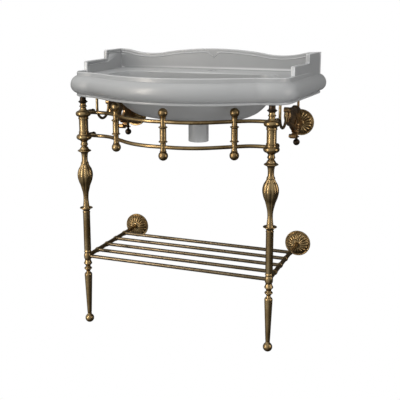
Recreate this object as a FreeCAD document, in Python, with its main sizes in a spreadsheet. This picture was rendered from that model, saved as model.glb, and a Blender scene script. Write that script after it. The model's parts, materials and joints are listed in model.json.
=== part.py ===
import FreeCAD, Part
import math
import os
import Sketcher
from FreeCAD import Placement, Rotation, Vector

# A console basin of glazed ceramic. It stands at the front on two turned brass legs and
# hangs at the back on the wall. Millimetres. X runs to the right, +Y runs to the wall,
# Z runs up. The origin is on the floor, in the middle of the object's box.

SIZES = {
    # ceramic basin: plan
    "basin_width": 802.0,         # over the roll, at the wall
    "basin_depth": 532.0,         # wall to the front of the roll
    "roll_proud": 20.0,           # how far the roll, the fat rounded rim, stands out over its foot
    "bow_radius": 366.0,          # front bow, at the foot of the roll
    "bow_angle": 33.4,            # half of the bow's turn, degrees
    "ogee_radius": 55.0,          # hollow turn between flank and shoulder
    "shoulder_angle": 7.5,        # slope of the shoulder, degrees
    "shoulder_run": 14.4076,      # straight stretch between the hollow turn and the corner
    "corner_radius": 70.0,
    "side_cant": 2.8,             # degrees, the sides lean in towards the front
    # ceramic basin: rim section
    "rim_height": 81.0,           # underside to lip
    "deck_drop": 11.0,            # deck below the lip
    "deck_thickness": 16.0,
    "rim_land": 24.0,             # solid width of the rim over its foot
    "bead_height": 9.5,           # small bead under the roll
    "roll_waist": 27.5,           # top of the bead to the roll's widest line
    "roll_height": 57.0,
    "lip_inset": 13.0,            # inner face of the lip, inside the roll's foot
    "lip_width": 11.0,
    "lip_ease": 2.5,
    "bead_tuck": 2.0,             # creases above and below the bead, inside its widest line
    "bead_turn": 120.0,           # degrees that the bead's lower round turns
    "rim_overrun": 12.0,          # swept past the wall, then trimmed flush
    "underside_land": 75.0,       # solid border of the hollow underside, sides and front
    "back_land": 14.0,            # the same at the wall
    "front_land": 90.0,
    "corner_land_x": 130.0,       # broader at the front corners, over the legs
    "corner_land_y": 90.0,
    # ceramic basin: bowl and outlet
    "bowl_half_width": 278.0,
    "bowl_back": 120.0,           # wall to the bowl's back edge
    "bowl_length": 320.0,         # back edge to front edge
    "bowl_front_radius": 420.0,
    "bowl_end_radius": 165.0,
    "bowl_rear_radius": 72.0,
    "bowl_depth": 138.0,
    "bowl_focus_from_wall": 130.0, # point that the bowl narrows towards
    "bowl_wall": 14.0,
    "outlet_dia": 69.0,
    "outlet_length": 80.0,        # below the bowl
    "outlet_from_wall": 167.0,
    "waste_hole_dia": 46.0,
    "tap_hole_dia": 35.0,
    "tap_from_wall": 34.0,
    # ceramic basin: upstand at the wall and stepped side wings
    "splash_height": 75.0,        # above the deck, at the middle
    "splash_thickness": 15.0,
    "splash_inset": 21.0,         # ends of the upstand, in from the roll's widest line
    "splash_arch_half": 175.0,
    "splash_arch_drop": 12.5,
    "splash_end_drop": 5.0,
    "splash_end_run": 45.0,
    "splash_hollow": 10.0,
    "wing_thickness": 13.0,
    "wing_high_run": 141.0,
    "wing_low_run": 160.0,
    "wing_step": 30.0,
    "wing_cant": 3.4,             # degrees, wings lean in towards the front
    "wing_ease": 5.0,
    "wall_bolt_spacing": 280.0,
    "wall_bolt_drop": 38.0,       # below the deck
    "wall_bolt_hole_dia": 14.0,
    # where the frame stands
    "leg_from_front": 141.0,      # leg axis to the front of the roll
    "leg_from_side": 83.0,        # leg axis to the side of the roll, at the wall
    # legs, from the floor up
    "foot_ball_dia": 30.0,
    "foot_flat": 0.5,
    "foot_neck_dia": 14.5,
    "foot_neck_top": 34.0,
    "foot_gap": 1.2,              # room for screwing the foot in
    "foot_stud_dia": 8.0,
    "foot_stud_length": 24.0,
    "taper_foot_dia": 15.0,
    "taper_top_dia": 26.0,
    "taper_length": 137.0,
    "taper_neck_dia": 13.0,
    "taper_neck_height": 13.0,
    "knop_height": 40.0,
    "knop_ring_dia": 24.0,
    "knop_bulb_dia": 27.0,
    "knop_neck_dia": 17.0,
    "hub_height": 36.0,
    "hub_dia": 26.0,
    "hub_ring_dia": 23.0,
    "hub_rod_share": 0.38,        # level of the shelf rods in the hub
    "tube_dia": 23.5,
    "tube_length": 137.0,
    "tube_ring": 3.0,
    "saucer_dia": 43.0,
    "saucer_height": 14.0,
    "vase_height": 146.0,
    "vase_foot_dia": 22.0,
    "vase_neck_dia": 17.5,
    "vase_dia": 52.0,
    "vase_top_dia": 26.0,
    "vase_dent": 1.8,             # crease between two lobes
    "vase_lobes": 8,
    "spindle_height": 75.3,
    "spindle_neck_dia": 18.5,
    "spindle_disc_dia": 45.0,
    "spindle_bead_dia": 25.0,
    "collar_dia": 50.0,
    "collar_height": 30.0,
    "collar_swell": 8.0,
    "column_dia": 30.0,
    "column_length": 47.5,
    "column_ring": 3.0,
    "leg_neck_height": 19.0,
    "leg_neck_dia": 19.0,
    "leg_neck_bead_dia": 25.0,
    "cap_dia": 31.0,
    "cap_height": 20.0,
    "cap_top_dia": 20.0,
    "tie_rod_dia": 8.0,
    "running_clearance": 0.08,    # radial room of a rod in its bore
    # front rails and their pegs
    "boss_dia": 18.0,
    "boss_length": 50.0,
    "knob_dia": 17.0,
    "knob_bulge": 2.0,
    "knob_neck_dia": 9.9,
    "knob_length": 24.0,
    "knob_crown": 4.0,
    "knob_screw_dia": 5.0,
    "rail_dia": 12.0,
    "rail_setback": 36.0,         # rail ends behind the legs
    "rail_bay_angle": 37.0,       # slope of a rail where it passes a side peg, degrees
    "rail_end_gap": 1.0,
    "rail_end_radius": 90.0,
    "rail_bow_radius": 205.0,
    "rail_bow": 79.0,             # middle of a rail in front of the legs
    "side_peg_x": 201.0,
    "side_peg_y": 2.0,
    "peg_length": 132.0,          # between ball centres
    "peg_ball_dia": 30.0,
    "peg_stem_dia": 17.6,
    "peg_grip_dia": 20.4,
    "peg_ring_dia": 30.0,
    "peg_ring_spacing": 44.0,
    "peg_ball_seat": 2.8,         # cap cut off the ball where it seats on the stem
    "peg_stud_dia": 6.0,
    "peg_stud_length": 5.0,
    # shelf
    "shelf_rod_dia": 12.0,
    "shelf_rod_pitch": 69.3,
    "shelf_rod_count": 5,
    "shelf_rod_seat": 6.0,        # rod end to the leg axis
    "shelf_arm_seat": 7.0,        # arm end to the leg axis
    "arm_rod_seat": 5.0,          # rod end to the arm axis
    "shelf_arm_dia": 14.5,
    "arm_sleeve_dia": 18.0,
    "arm_sleeve_length": 11.0,
    # wall roses and brackets
    "rose_dia": 91.0,
    "rose_depth": 21.0,
    "rose_wall": 3.0,
    "flange_dia": 56.0,
    "flange_thickness": 5.0,
    "flange_socket_dia": 24.0,
    "flange_socket_depth": 14.0,
    "flange_screw_spacing": 40.0,
    "flange_screw_hole_dia": 5.5,
    "bracket_below_basin": 103.0, # bracket axis below the basin's underside
    "bracket_thickness": 22.0,    # over the leaf and the curl
    "bracket_stub_dia": 14.0,
    "bracket_root_from_wall": 22.0,
    "bracket_opening_dia": 30.0,
    "bracket_stub_reach": 6.0,    # stub end to the wall
    "post_dia": 9.0,
    "post_from_wall": 51.0,
    "volute_dia": 18.0,
    "web_thickness": 13.0,        # of the bracket outside the leaf
    "curl_radius": 28.0,
    "curl_limb": 8.0,
    "curl_turn": 135.0,           # degrees, from the seat round to the tip
    "curl_rise": 12.0,            # centre of the curl below the bracket's axis
    "curl_from_wall": 108.0,
    "volute_from_wall": 216.0,
    "volute_drop": 34.0,          # volute centre below the basin
    "tendril_dia": 9.0,
    "tendril_behind_leg": 94.0,   # front limb of the tendril to the leg axis
    "tendril_drop": 91.0,         # underside of the basin to the bottom of the loop
    "drop_ball_dia": 23.0,
    "drop_from_wall": 65.0,
    "drop_length": 48.0,
}

# sizes that follow from others: the rim's flank, the frame and the upstand go with the basin
TIED_SIZES = {
    "leg_from_wall": "=basin_depth - leg_from_front",
    "leg_half_spacing": "=basin_width / 2 - leg_from_side",
    "tendril_front_from_wall": "=basin_depth - leg_from_front - tendril_behind_leg",
    "splash_half_width": "=basin_width / 2 - splash_inset",
    # straight stretch beside the bow: it fills what is left up to the side
    "bow_flank": "=(basin_width / 2 - roll_proud - corner_radius / cos(side_cant)"
    " - tan(side_cant) * (basin_depth - roll_proud - bow_radius"
    " + (bow_radius + ogee_radius) * cos(bow_angle)"
    " - (ogee_radius + corner_radius) * cos(shoulder_angle)"
    " - shoulder_run * sin(shoulder_angle))"
    " - (bow_radius + ogee_radius) * sin(bow_angle)"
    " + (ogee_radius + corner_radius) * sin(shoulder_angle)"
    " - shoulder_run * cos(shoulder_angle))"
    " / (cos(bow_angle) - tan(side_cant) * sin(bow_angle))",
}

doc = FreeCAD.newDocument("console_basin")
sheet = doc.addObject("Spreadsheet::Sheet", "Sizes")
for row, (alias, content) in enumerate({**SIZES, **TIED_SIZES}.items(), start=1):
    sheet.set(f"A{row}", alias.replace("_", " "))
    sheet.set(f"B{row}", str(content))
    sheet.setAlias(f"B{row}", alias)
doc.recompute()


class Size:
    """A number together with the expression that gives it in the document."""

    def __init__(self, value, text):
        self.value = value
        self.text = text

    def __add__(self, other):
        other = as_size(other)
        return Size(self.value + other.value, f"({self.text} + {other.text})")

    def __sub__(self, other):
        other = as_size(other)
        return Size(self.value - other.value, f"({self.text} - {other.text})")

    def __mul__(self, other):
        other = as_size(other)
        return Size(self.value * other.value, f"({self.text} * {other.text})")

    def __truediv__(self, other):
        other = as_size(other)
        return Size(self.value / other.value, f"({self.text} / {other.text})")

    def __radd__(self, other):
        return as_size(other) + self

    def __rsub__(self, other):
        return as_size(other) - self

    def __rmul__(self, other):
        return as_size(other) * self

    def __neg__(self):
        return as_size(0.0) - self


def as_size(thing):
    if isinstance(thing, Size):
        return thing
    return Size(float(thing), f"({float(thing)!r})")


RIGHT_ANGLE = as_size(90)


def size(alias):
    return Size(float(getattr(sheet, alias)), f"Sizes.{alias}")


def half(alias):
    return size(alias) / 2


def sine(degrees):
    return Size(math.sin(math.radians(degrees.value)), f"sin({degrees.text})")


def cosine(degrees):
    return Size(math.cos(math.radians(degrees.value)), f"cos({degrees.text})")


def root(number):
    return Size(math.sqrt(number.value), f"sqrt({number.text})")


def tangent(degrees):
    return sine(degrees) / cosine(degrees)


def arc_rise(radius, turn):
    """How far an arc of this radius, turning by this many degrees, stands off its chord."""
    return radius * (1 - cosine(turn / 2))


def upright_rise(across, up):
    """How far an arc stands off its chord when it is upright at one end."""
    chord = root(across * across + up * up)
    return chord / 2 * (chord - up) / across


PLANES = {"side": "XZ_Plane", "flank": "YZ_Plane", "plan": "XY_Plane"}


def attach(sketch, body, plane):
    role = PLANES[plane]
    support = next(item for item in body.Origin.OriginFeatures if item.Role == role)
    sketch.AttachmentSupport = [(support, "")]
    sketch.MapMode = "FlatFace"


def new_sketch(body, name, plane, level=None):
    sketch = body.newObject("Sketcher::SketchObject", name)
    attach(sketch, body, plane)
    if level is not None:
        sketch.AttachmentOffset = Placement(Vector(0, 0, level.value), Rotation())
        sketch.setExpression("AttachmentOffset.Base.z", level.text)
    return sketch


def arc_between(start, end, rise):
    """Arc that leaves its chord to the right of the way from start to end by rise."""
    chord = end - start
    right = Vector(chord.y, -chord.x, 0).normalize()
    middle = (start + end) / 2 + right * rise
    return Part.Arc(start, middle, end)


def draw(sketch, corners, closed=True):
    """Lines and arcs through corners, each bound to the sheet.

    A corner is (x, y) or (x, y, rise): rise is how far the stretch that leaves the corner
    swells to the right of the way, so positive is outwards on an outline drawn
    anticlockwise.
    """
    points = []
    for corner in corners:
        points.append((as_size(corner[0]), as_size(corner[1])))
    rises = [as_size(corner[2]) if len(corner) > 2 else None for corner in corners]
    stretches = len(points) if closed else len(points) - 1
    constraints = []
    bindings = []
    ends = []
    for index in range(stretches):
        (ax, ay), (bx, by) = points[index], points[(index + 1) % len(points)]
        start, end = Vector(ax.value, ay.value, 0), Vector(bx.value, by.value, 0)
        rise = rises[index]
        if rise is None or abs(rise.value) < 1e-6:
            piece = sketch.addGeometry(Part.LineSegment(start, end))
            ends.append((piece, 1, 2))
            continue
        piece = sketch.addGeometry(arc_between(start, end, rise.value))
        ends.append((piece, 1, 2) if rise.value > 0 else (piece, 2, 1))
        # the centre lies on the chord's bisector, at radius less rise from the chord
        dx, dy = bx - ax, by - ay
        square = dx * dx + dy * dy
        back = (square / 4 - rise * rise) / (2 * rise) / root(square)
        centre = ((ax + bx) / 2 - dy * back, (ay + by) / 2 + dx * back)
        along = 1 if abs(dx.value) > abs(dy.value) else 0
        kind = ("DistanceX", "DistanceY")[along]
        constraints.append(Sketcher.Constraint(kind, -1, 1, piece, 3, centre[along].value))
        bindings.append(centre[along].text)
    for index, (piece, first, last) in enumerate(ends):
        x, y = points[index]
        constraints.append(Sketcher.Constraint("DistanceX", -1, 1, piece, first, x.value))
        bindings.append(x.text)
        constraints.append(Sketcher.Constraint("DistanceY", -1, 1, piece, first, y.value))
        bindings.append(y.text)
    if not closed:
        piece, first, last = ends[-1]
        x, y = points[-1]
        constraints.append(Sketcher.Constraint("DistanceX", -1, 1, piece, last, x.value))
        bindings.append(x.text)
        constraints.append(Sketcher.Constraint("DistanceY", -1, 1, piece, last, y.value))
        bindings.append(y.text)
    joints = len(ends) if closed else len(ends) - 1
    for index in range(joints):
        piece, first, last = ends[index]
        following, next_first, next_last = ends[(index + 1) % len(ends)]
        constraints.append(Sketcher.Constraint("Coincident", piece, last, following, next_first))
    sketch.addConstraint(constraints)
    for index, text in enumerate(bindings):
        sketch.setExpression(f"Constraints[{index}]", text)
    return sketch


def circle(sketch, x, y, radius):
    """A circle bound to the sheet."""
    x, y, radius = as_size(x), as_size(y), as_size(radius)
    before = sketch.ConstraintCount
    centre = Vector(x.value, y.value, 0)
    piece = sketch.addGeometry(Part.Circle(centre, Vector(0, 0, 1), radius.value))
    sketch.addConstraint([
        Sketcher.Constraint("DistanceX", -1, 1, piece, 3, x.value),
        Sketcher.Constraint("DistanceY", -1, 1, piece, 3, y.value),
        Sketcher.Constraint("Radius", piece, radius.value),
    ])
    for index, bound in enumerate((x, y, radius)):
        sketch.setExpression(f"Constraints[{before + index}]", bound.text)
    return sketch


def new_body(name):
    body = doc.addObject("PartDesign::Body", name)
    body.Label = name
    return body


def put(piece, x=0.0, y=0.0, z=0.0, axis=None, turn=None):
    """Place a piece, with its place bound to the sheet."""
    place = [as_size(x), as_size(y), as_size(z)]
    rotation = Rotation()
    if axis is not None:
        rotation = Rotation(axis, as_size(turn).value)
    piece.Placement = Placement(Vector(*[item.value for item in place]), rotation)
    for letter, item in zip("xyz", place):
        piece.setExpression(f"Placement.Base.{letter}", item.text)
    return piece


def turned(name, profile):
    """A piece turned on a lathe: a profile of (radius, height) corners spun about Z."""
    body = new_body(name)
    sketch = draw(new_sketch(body, f"{name}_profile", "side"), profile)
    spin = body.newObject("PartDesign::Revolution", f"{name}_spin")
    spin.Profile = sketch
    spin.ReferenceAxis = (sketch, ["V_Axis"])
    spin.Angle = 360
    return body


def pad(body, name, sketch, length, reverse=False, symmetric=False):
    feature = body.newObject("PartDesign::Pad", name)
    feature.Profile = sketch
    feature.Length = length.value
    feature.setExpression("Length", length.text)
    feature.Reversed = reverse
    if symmetric:
        feature.SideType = "Symmetric"
    return feature


def pocket(body, name, sketch, length, reverse=False, symmetric=False):
    """Cut a sketch's outline out, and check that it took material away."""
    doc.recompute()
    before = body.Shape.Volume
    feature = body.newObject("PartDesign::Pocket", name)
    feature.Profile = sketch
    feature.Length = length.value
    feature.setExpression("Length", length.text)
    feature.Reversed = reverse
    if symmetric:
        feature.SideType = "Symmetric"
    doc.recompute()
    if body.Shape.Volume >= before - 1e-3:
        raise RuntimeError(f"{name} cuts nothing")
    return feature


SIDES = {"left": -1, "right": 1}
UPRIGHT = Vector(1, 0, 0)
TO_WALL = -90                     # turn about X that lays a piece's own Z towards the wall
FROM_WALL = 90
wall = size("basin_depth") / 2
legs_y = wall - size("leg_from_wall")
rod_bore = half("tie_rod_dia") + size("running_clearance")


def top_of(piece, height):
    """Level of a piece's top, from where the piece stands."""
    return Size(piece.Placement.Base.z, f"({piece.Name}.Placement.Base.z / 1 mm)") + height


# ---------------------------------------------------------------- legs, floor to basin
# Each leg is a stack of turned brass spindles, clamped by a steel rod inside.
# A spindle is drawn from its own foot up, and stands on the one below it.

def ball_foot(name):
    """Ball that screws in and out under the leg to level it."""
    ball = half("foot_ball_dia")
    neck = half("foot_neck_dia")
    centre = ball - size("foot_flat")
    flat = root(ball * ball - centre * centre)
    shoulder = centre + root(ball * ball - neck * neck)
    stud = half("foot_stud_dia")
    neck_top = size("foot_neck_top")
    stud_top = neck_top + size("foot_stud_length")
    low_chord = (ball - flat) * (ball - flat) + centre * centre
    rise = shoulder - centre
    high_chord = (ball - neck) * (ball - neck) + rise * rise
    return turned(name, [
        (0, 0),
        (flat, 0, ball - root(ball * ball - low_chord / 4)),
        (ball, centre, ball - root(ball * ball - high_chord / 4)),
        (neck, shoulder),
        (neck, neck_top),
        (stud, neck_top),
        (stud, stud_top - 1),
        (stud - 1, stud_top),
        (0, stud_top),
    ])


def tapered_leg(name):
    """Long taper over the foot, with a rounded shoulder and a thin neck."""
    foot = half("taper_foot_dia")
    neck = half("taper_neck_dia")
    length = size("taper_length")
    end = length + size("taper_neck_height")
    return turned(name, [
        (rod_bore, 0),
        (foot - 1, 0, 0.3),
        (foot, 1),
        (half("taper_top_dia"), length, 1.6),
        (neck + 1, length + size("taper_neck_height") * 0.65),
        (neck, end),
        (rod_bore, end),
    ])


def lower_knop(name):
    """Thin ring and ring-shaped bulb between the taper and the shelf hub."""
    height = size("knop_height")
    ring = half("knop_ring_dia")
    bulb = half("knop_bulb_dia")
    neck = half("knop_neck_dia")
    return turned(name, [
        (rod_bore, 0),
        (half("taper_neck_dia"), 0, -0.6),
        (ring, height * 0.2, 1.2),
        (ring, height * 0.31),
        (neck, height * 0.38, -0.5),
        (neck, height * 0.5, -0.4),
        (bulb - 1, height * 0.63, 1.6),
        (bulb - 1, height * 0.8),
        (neck + 1.5, height),
        (rod_bore, height),
    ])


def shelf_hub(name, side):
    """Barrel that takes the front shelf rod on its inner side and the arm behind it."""
    height = size("hub_height")
    barrel = half("hub_dia")
    ring = half("hub_ring_dia")
    top = half("tube_dia") - 1
    body = turned(name, [
        (rod_bore, 0),
        (half("knop_neck_dia") + 1.5, 0, -0.6),
        (barrel - 1, height * 0.12, 1.0),
        (barrel - 1, height * 0.64),
        (ring - 1.5, height * 0.7),
        (ring, height * 0.76, 1.0),
        (ring, height * 0.9),
        (top, height * 0.93),
        (top, height),
        (rod_bore, height),
    ])
    clearance = size("running_clearance")
    level = height * size("hub_rod_share")
    inner = -side
    rod = new_sketch(body, f"{name}_rod_outline", "flank", inner * size("shelf_rod_seat"))
    circle(rod, 0, level, half("shelf_rod_dia") + clearance)
    pocket(body, f"{name}_rod_hole", rod, barrel, reverse=inner > 0)
    arm = new_sketch(body, f"{name}_arm_outline", "side", -size("shelf_arm_seat"))
    circle(arm, 0, level, half("shelf_arm_dia") + clearance)
    pocket(body, f"{name}_arm_hole", arm, barrel)
    return body


def lower_tube(name):
    """Plain tube with a small ring and a groove under the saucer."""
    radius = half("tube_dia")
    length = size("tube_length")
    ring = size("tube_ring")
    return turned(name, [
        (rod_bore, 0),
        (radius, 0),
        (radius, length - 2 * ring),
        (radius + 0.8, length - 2 * ring),
        (radius + 0.8, length - ring),
        (radius - 1.2, length - ring),
        (radius - 1.2, length),
        (rod_bore, length),
    ])


def saucer(name):
    """Thin-edged dish that the vase stands in."""
    height = size("saucer_height")
    rim = half("saucer_dia")
    foot = half("tube_dia")
    seat = half("vase_foot_dia")
    return turned(name, [
        (rod_bore, 0),
        (foot - 1.2, 0),
        (foot + 1, height * 0.15),
        (foot + 2, height * 0.36, -0.9),
        (rim, height * 0.66),
        (rim - 0.5, height * 0.8, -1.2),
        (seat + 1, height * 0.7),
        (seat, height),
        (rod_bore, height),
    ])


def lobed_ring(radius, dent, lobes, level):
    """Closed ring of equal arcs: each swells to the radius, with a dent between lobes."""
    step = 2 * math.pi / lobes
    arcs = []
    for index in range(lobes):
        turns = ((index - 0.5) * step, index * step, (index + 0.5) * step)
        reaches = (radius - dent, radius, radius - dent)
        arcs.append(Part.Arc(*[
            Vector(reach * math.cos(turn), reach * math.sin(turn), level)
            for reach, turn in zip(reaches, turns)
        ]).toShape())
    return Part.Wire(arcs)


def vase(name):
    """Lobed vase, lofted through lobed rings round the leg's axis."""
    height = size("vase_height").value
    foot = half("vase_foot_dia").value
    neck = half("vase_neck_dia").value
    belly = half("vase_dia").value
    top = half("vase_top_dia").value
    dent = size("vase_dent").value
    lobes = int(size("vase_lobes").value)
    swell = belly - neck
    rings = [
        lobed_ring(foot, 0.1 * dent, lobes, 0),
        lobed_ring(neck, 0.3 * dent, lobes, 0.23 * height),
        lobed_ring(neck + 0.35 * swell, 0.7 * dent, lobes, 0.46 * height),
        lobed_ring(neck + 0.9 * swell, dent, lobes, 0.66 * height),
        lobed_ring(belly, dent, lobes, 0.75 * height),
        lobed_ring(neck + 0.84 * swell, dent, lobes, 0.86 * height),
        lobed_ring(top, 0.4 * dent, lobes, height),
    ]
    solid = Part.makeLoft(rings, True, False)
    solid = solid.cut(Part.makeCylinder(rod_bore.value, height + 2, Vector(0, 0, -1)))
    piece = doc.addObject("Part::Feature", name)
    piece.Label = name
    piece.Shape = solid
    return piece


def spindle(name):
    """Hollow neck with a thin disc and a bead, between the vase and the collars."""
    height = size("spindle_height")
    base = half("vase_top_dia")
    neck = half("spindle_neck_dia")
    disc = half("spindle_disc_dia")
    bead = half("spindle_bead_dia")
    return turned(name, [
        (rod_bore, 0),
        (base - 0.4, 0, 0.8),
        (base - 0.4, height * 0.06),
        (neck + 1, height * 0.12, -0.8),
        (neck + 1.6, height * 0.44, -0.6),
        (base + 1, height * 0.53),
        (disc - 3, height * 0.56),
        (disc, height * 0.59),
        (disc - 2, height * 0.62, -0.8),
        (base + 1, height * 0.69, 0.8),
        (neck, height * 0.78, -0.4),
        (bead - 1.2, height * 0.84, 1.2),
        (bead - 1.2, height * 0.91, -0.4),
        (neck + 1, height),
        (rod_bore, height),
    ])


def rail_collar(name, side, leg_end, column_end):
    """Fat ring on the leg; the boss behind it takes a rail end and its screw."""
    height = size("collar_height")
    fat = half("collar_dia")
    swell = size("collar_swell")
    body = turned(name, [
        (rod_bore, 0),
        (leg_end, 0, -0.5),
        (fat - swell, height * 0.2, swell),
        (fat - swell, height * 0.8, -0.5),
        (column_end, height),
        (rod_bore, height),
    ])
    middle = height / 2
    boss = new_sketch(body, f"{name}_boss_outline", "side", -(half("column_dia") - 3))
    circle(boss, 0, middle, half("boss_dia"))
    reach = size("boss_length") - half("column_dia") + 3
    pad(body, f"{name}_boss", boss, reach, reverse=True)
    clearance = size("running_clearance")
    bore = circle(
        new_sketch(body, f"{name}_rail_outline", "flank"),
        size("rail_setback"), middle, half("rail_dia") + clearance,
    )
    pocket(body, f"{name}_rail_bore", bore, half("boss_dia") + 1, reverse=side < 0)
    screw = new_sketch(body, f"{name}_screw_outline", "side", -size("rail_setback"))
    circle(screw, 0, middle, half("knob_screw_dia") + clearance)
    pocket(body, f"{name}_screw_bore", screw, size("boss_length"))
    return body


def column(name):
    """Smooth drum between the two collars, with a small ring at each end."""
    radius = half("column_dia")
    length = size("column_length")
    ring = size("column_ring")
    return turned(name, [
        (rod_bore, 0),
        (radius + 1.5, 0, 0.5),
        (radius + 1.5, ring),
        (radius, ring),
        (radius, length - ring),
        (radius + 1.5, length - ring, 0.5),
        (radius + 1.5, length),
        (rod_bore, length),
    ])


def leg_neck(name):
    height = size("leg_neck_height")
    neck = half("leg_neck_dia")
    bead = half("leg_neck_bead_dia")
    return turned(name, [
        (rod_bore, 0),
        (neck + 1.5, 0, -0.5),
        (neck, height * 0.3),
        (bead - 1.3, height * 0.38, 1.3),
        (bead - 1.3, height * 0.6),
        (neck, height * 0.68),
        (neck, height),
        (rod_bore, height),
    ])


def leg_cap(name):
    """Dark cap that the basin's corner rests on; the rod inside ends in it."""
    height = size("cap_height")
    depth = height * 0.7
    return turned(name, [
        (rod_bore, 0),
        (half("leg_neck_dia") + 0.5, 0, -0.4),
        (half("cap_dia") - 1, height * 0.19, 0.8),
        (half("cap_dia") - 1, height * 0.34, -1.2),
        (half("cap_top_dia"), height * 0.64),
        (half("cap_top_dia"), height),
        (0, height),
        (0, depth),
        (rod_bore, depth),
    ])


def tie_rod(name, length):
    rod = doc.addObject("Part::Cylinder", name)
    rod.Label = name
    rod.Radius = half("tie_rod_dia").value
    rod.setExpression("Radius", half("tie_rod_dia").text)
    rod.Height = length.value
    rod.setExpression("Height", length.text)
    return rod


def rail_knob(name):
    """Dark round-headed screw that grips a rail end in its boss."""
    screw = half("knob_screw_dia")
    head = half("knob_dia")
    bulge = size("knob_bulge")
    neck = half("knob_neck_dia")
    length = size("knob_length")
    crown = size("knob_crown")
    clearance = size("running_clearance")
    reach = size("boss_length") - size("rail_setback") - half("rail_dia") - clearance
    return turned(name, [
        (0, -reach),
        (screw, -reach),
        (screw, 0),
        (neck, 0),
        (neck, length * 0.2),
        (head - bulge, length * 0.33, bulge),
        (head - bulge, length - crown, upright_rise(crown, head - bulge)),
        (0, length),
    ])


PARTS = []


def keep(piece):
    """List a finished piece for writing out."""
    PARTS.append(piece)
    return piece


foot_travel_seat = size("foot_neck_top") + size("foot_gap")
leg_tops = {}
collar_levels = {}
shelf_level = {}
for word, side in SIDES.items():
    axis_x = side * size("leg_half_spacing")
    keep(put(ball_foot(f"ball_foot_{word}"), axis_x, legs_y))
    taper = keep(put(tapered_leg(f"tapered_leg_{word}"), axis_x, legs_y, foot_travel_seat))
    level = top_of(taper, size("taper_length") + size("taper_neck_height"))
    knop = keep(put(lower_knop(f"lower_knop_{word}"), axis_x, legs_y, level))
    level = top_of(knop, size("knop_height"))
    hub = keep(put(shelf_hub(f"shelf_hub_{word}", side), axis_x, legs_y, level))
    shelf_level[word] = top_of(hub, size("hub_height") * size("hub_rod_share"))
    level = top_of(hub, size("hub_height"))
    tube = keep(put(lower_tube(f"lower_tube_{word}"), axis_x, legs_y, level))
    level = top_of(tube, size("tube_length"))
    dish = keep(put(saucer(f"saucer_{word}"), axis_x, legs_y, level))
    level = top_of(dish, size("saucer_height"))
    urn = keep(put(vase(f"vase_{word}"), axis_x, legs_y, level))
    level = top_of(urn, size("vase_height"))
    neck = keep(put(spindle(f"spindle_{word}"), axis_x, legs_y, level))
    level = top_of(neck, size("spindle_height"))
    narrow = half("spindle_neck_dia") + 1
    broad = half("column_dia") + 1.5
    low = rail_collar(f"lower_collar_{word}", side, narrow, broad)
    keep(put(low, axis_x, legs_y, level))
    level = top_of(low, size("collar_height"))
    drum = keep(put(column(f"column_{word}"), axis_x, legs_y, level))
    level = top_of(drum, size("column_length"))
    high = rail_collar(f"upper_collar_{word}", side, broad, half("leg_neck_dia") + 1.5)
    keep(put(high, axis_x, legs_y, level))
    collar_levels[word] = {
        "lower": top_of(low, size("collar_height") / 2),
        "upper": top_of(high, size("collar_height") / 2),
    }
    level = top_of(high, size("collar_height"))
    upper_neck = keep(put(leg_neck(f"leg_neck_{word}"), axis_x, legs_y, level))
    level = top_of(upper_neck, size("leg_neck_height"))
    cap = keep(put(leg_cap(f"leg_cap_{word}"), axis_x, legs_y, level))
    leg_tops[word] = top_of(cap, size("cap_height"))
    rod_foot = size("foot_neck_top") + size("foot_gap") + size("foot_stud_length") + 2
    rod_length = level + size("cap_height") * 0.7 - 0.5 - rod_foot
    keep(put(tie_rod(f"tie_rod_{word}", rod_length), axis_x, legs_y, rod_foot))
    knobs = []
    for height_word, height in collar_levels[word].items():
        knob = rail_knob(f"{height_word}_knob_{word}")
        put(knob, axis_x, legs_y + size("boss_length"), height, UPRIGHT, TO_WALL)
        knobs.append(knob)
    pair = doc.addObject("Part::Compound", f"rail_knobs_{word}")
    pair.Label = f"rail_knobs_{word}"
    pair.Links = knobs
    keep(pair)

underside = leg_tops["right"]


# ---------------------------------------------------------------- front rails and pegs

def front_rail(name):
    """Serpentine rod: set back at the legs, bowed out in the middle."""
    body = new_body(name)
    angle = size("rail_bay_angle")
    slope = tangent(angle)
    back = size("rail_setback")
    bow = size("rail_bow")
    end_radius = size("rail_end_radius")
    bow_radius = size("rail_bow_radius")
    half_turn = tangent(angle / 2)
    end_reach = end_radius * half_turn
    bow_reach = bow_radius * half_turn
    end_corner = size("side_peg_x") + (back - size("side_peg_y")) / slope
    bow_corner = size("side_peg_x") - (size("side_peg_y") + bow) / slope
    tip = size("leg_half_spacing") - size("rail_end_gap")
    end_rise = arc_rise(end_radius, angle)
    bow_rise = arc_rise(bow_radius, angle)
    route = [
        (-tip, back),
        (-(end_corner + end_reach), back, -end_rise),
        (-(end_corner - end_reach * cosine(angle)), back - end_reach * sine(angle)),
        (-(bow_corner + bow_reach * cosine(angle)), bow_reach * sine(angle) - bow, bow_rise),
        (-(bow_corner - bow_reach), -bow),
        (bow_corner - bow_reach, -bow, bow_rise),
        (bow_corner + bow_reach * cosine(angle), bow_reach * sine(angle) - bow),
        (end_corner - end_reach * cosine(angle), back - end_reach * sine(angle), -end_rise),
        (end_corner + end_reach, back),
        (tip, back),
    ]
    path = draw(new_sketch(body, f"{name}_route", "plan"), route, closed=False)
    section = new_sketch(body, f"{name}_section", "flank", -tip)
    circle(section, back, 0, half("rail_dia"))
    pipe = body.newObject("PartDesign::AdditivePipe", f"{name}_pipe")
    pipe.Profile = section
    pipe.Spine = (path, [])
    return body


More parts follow.
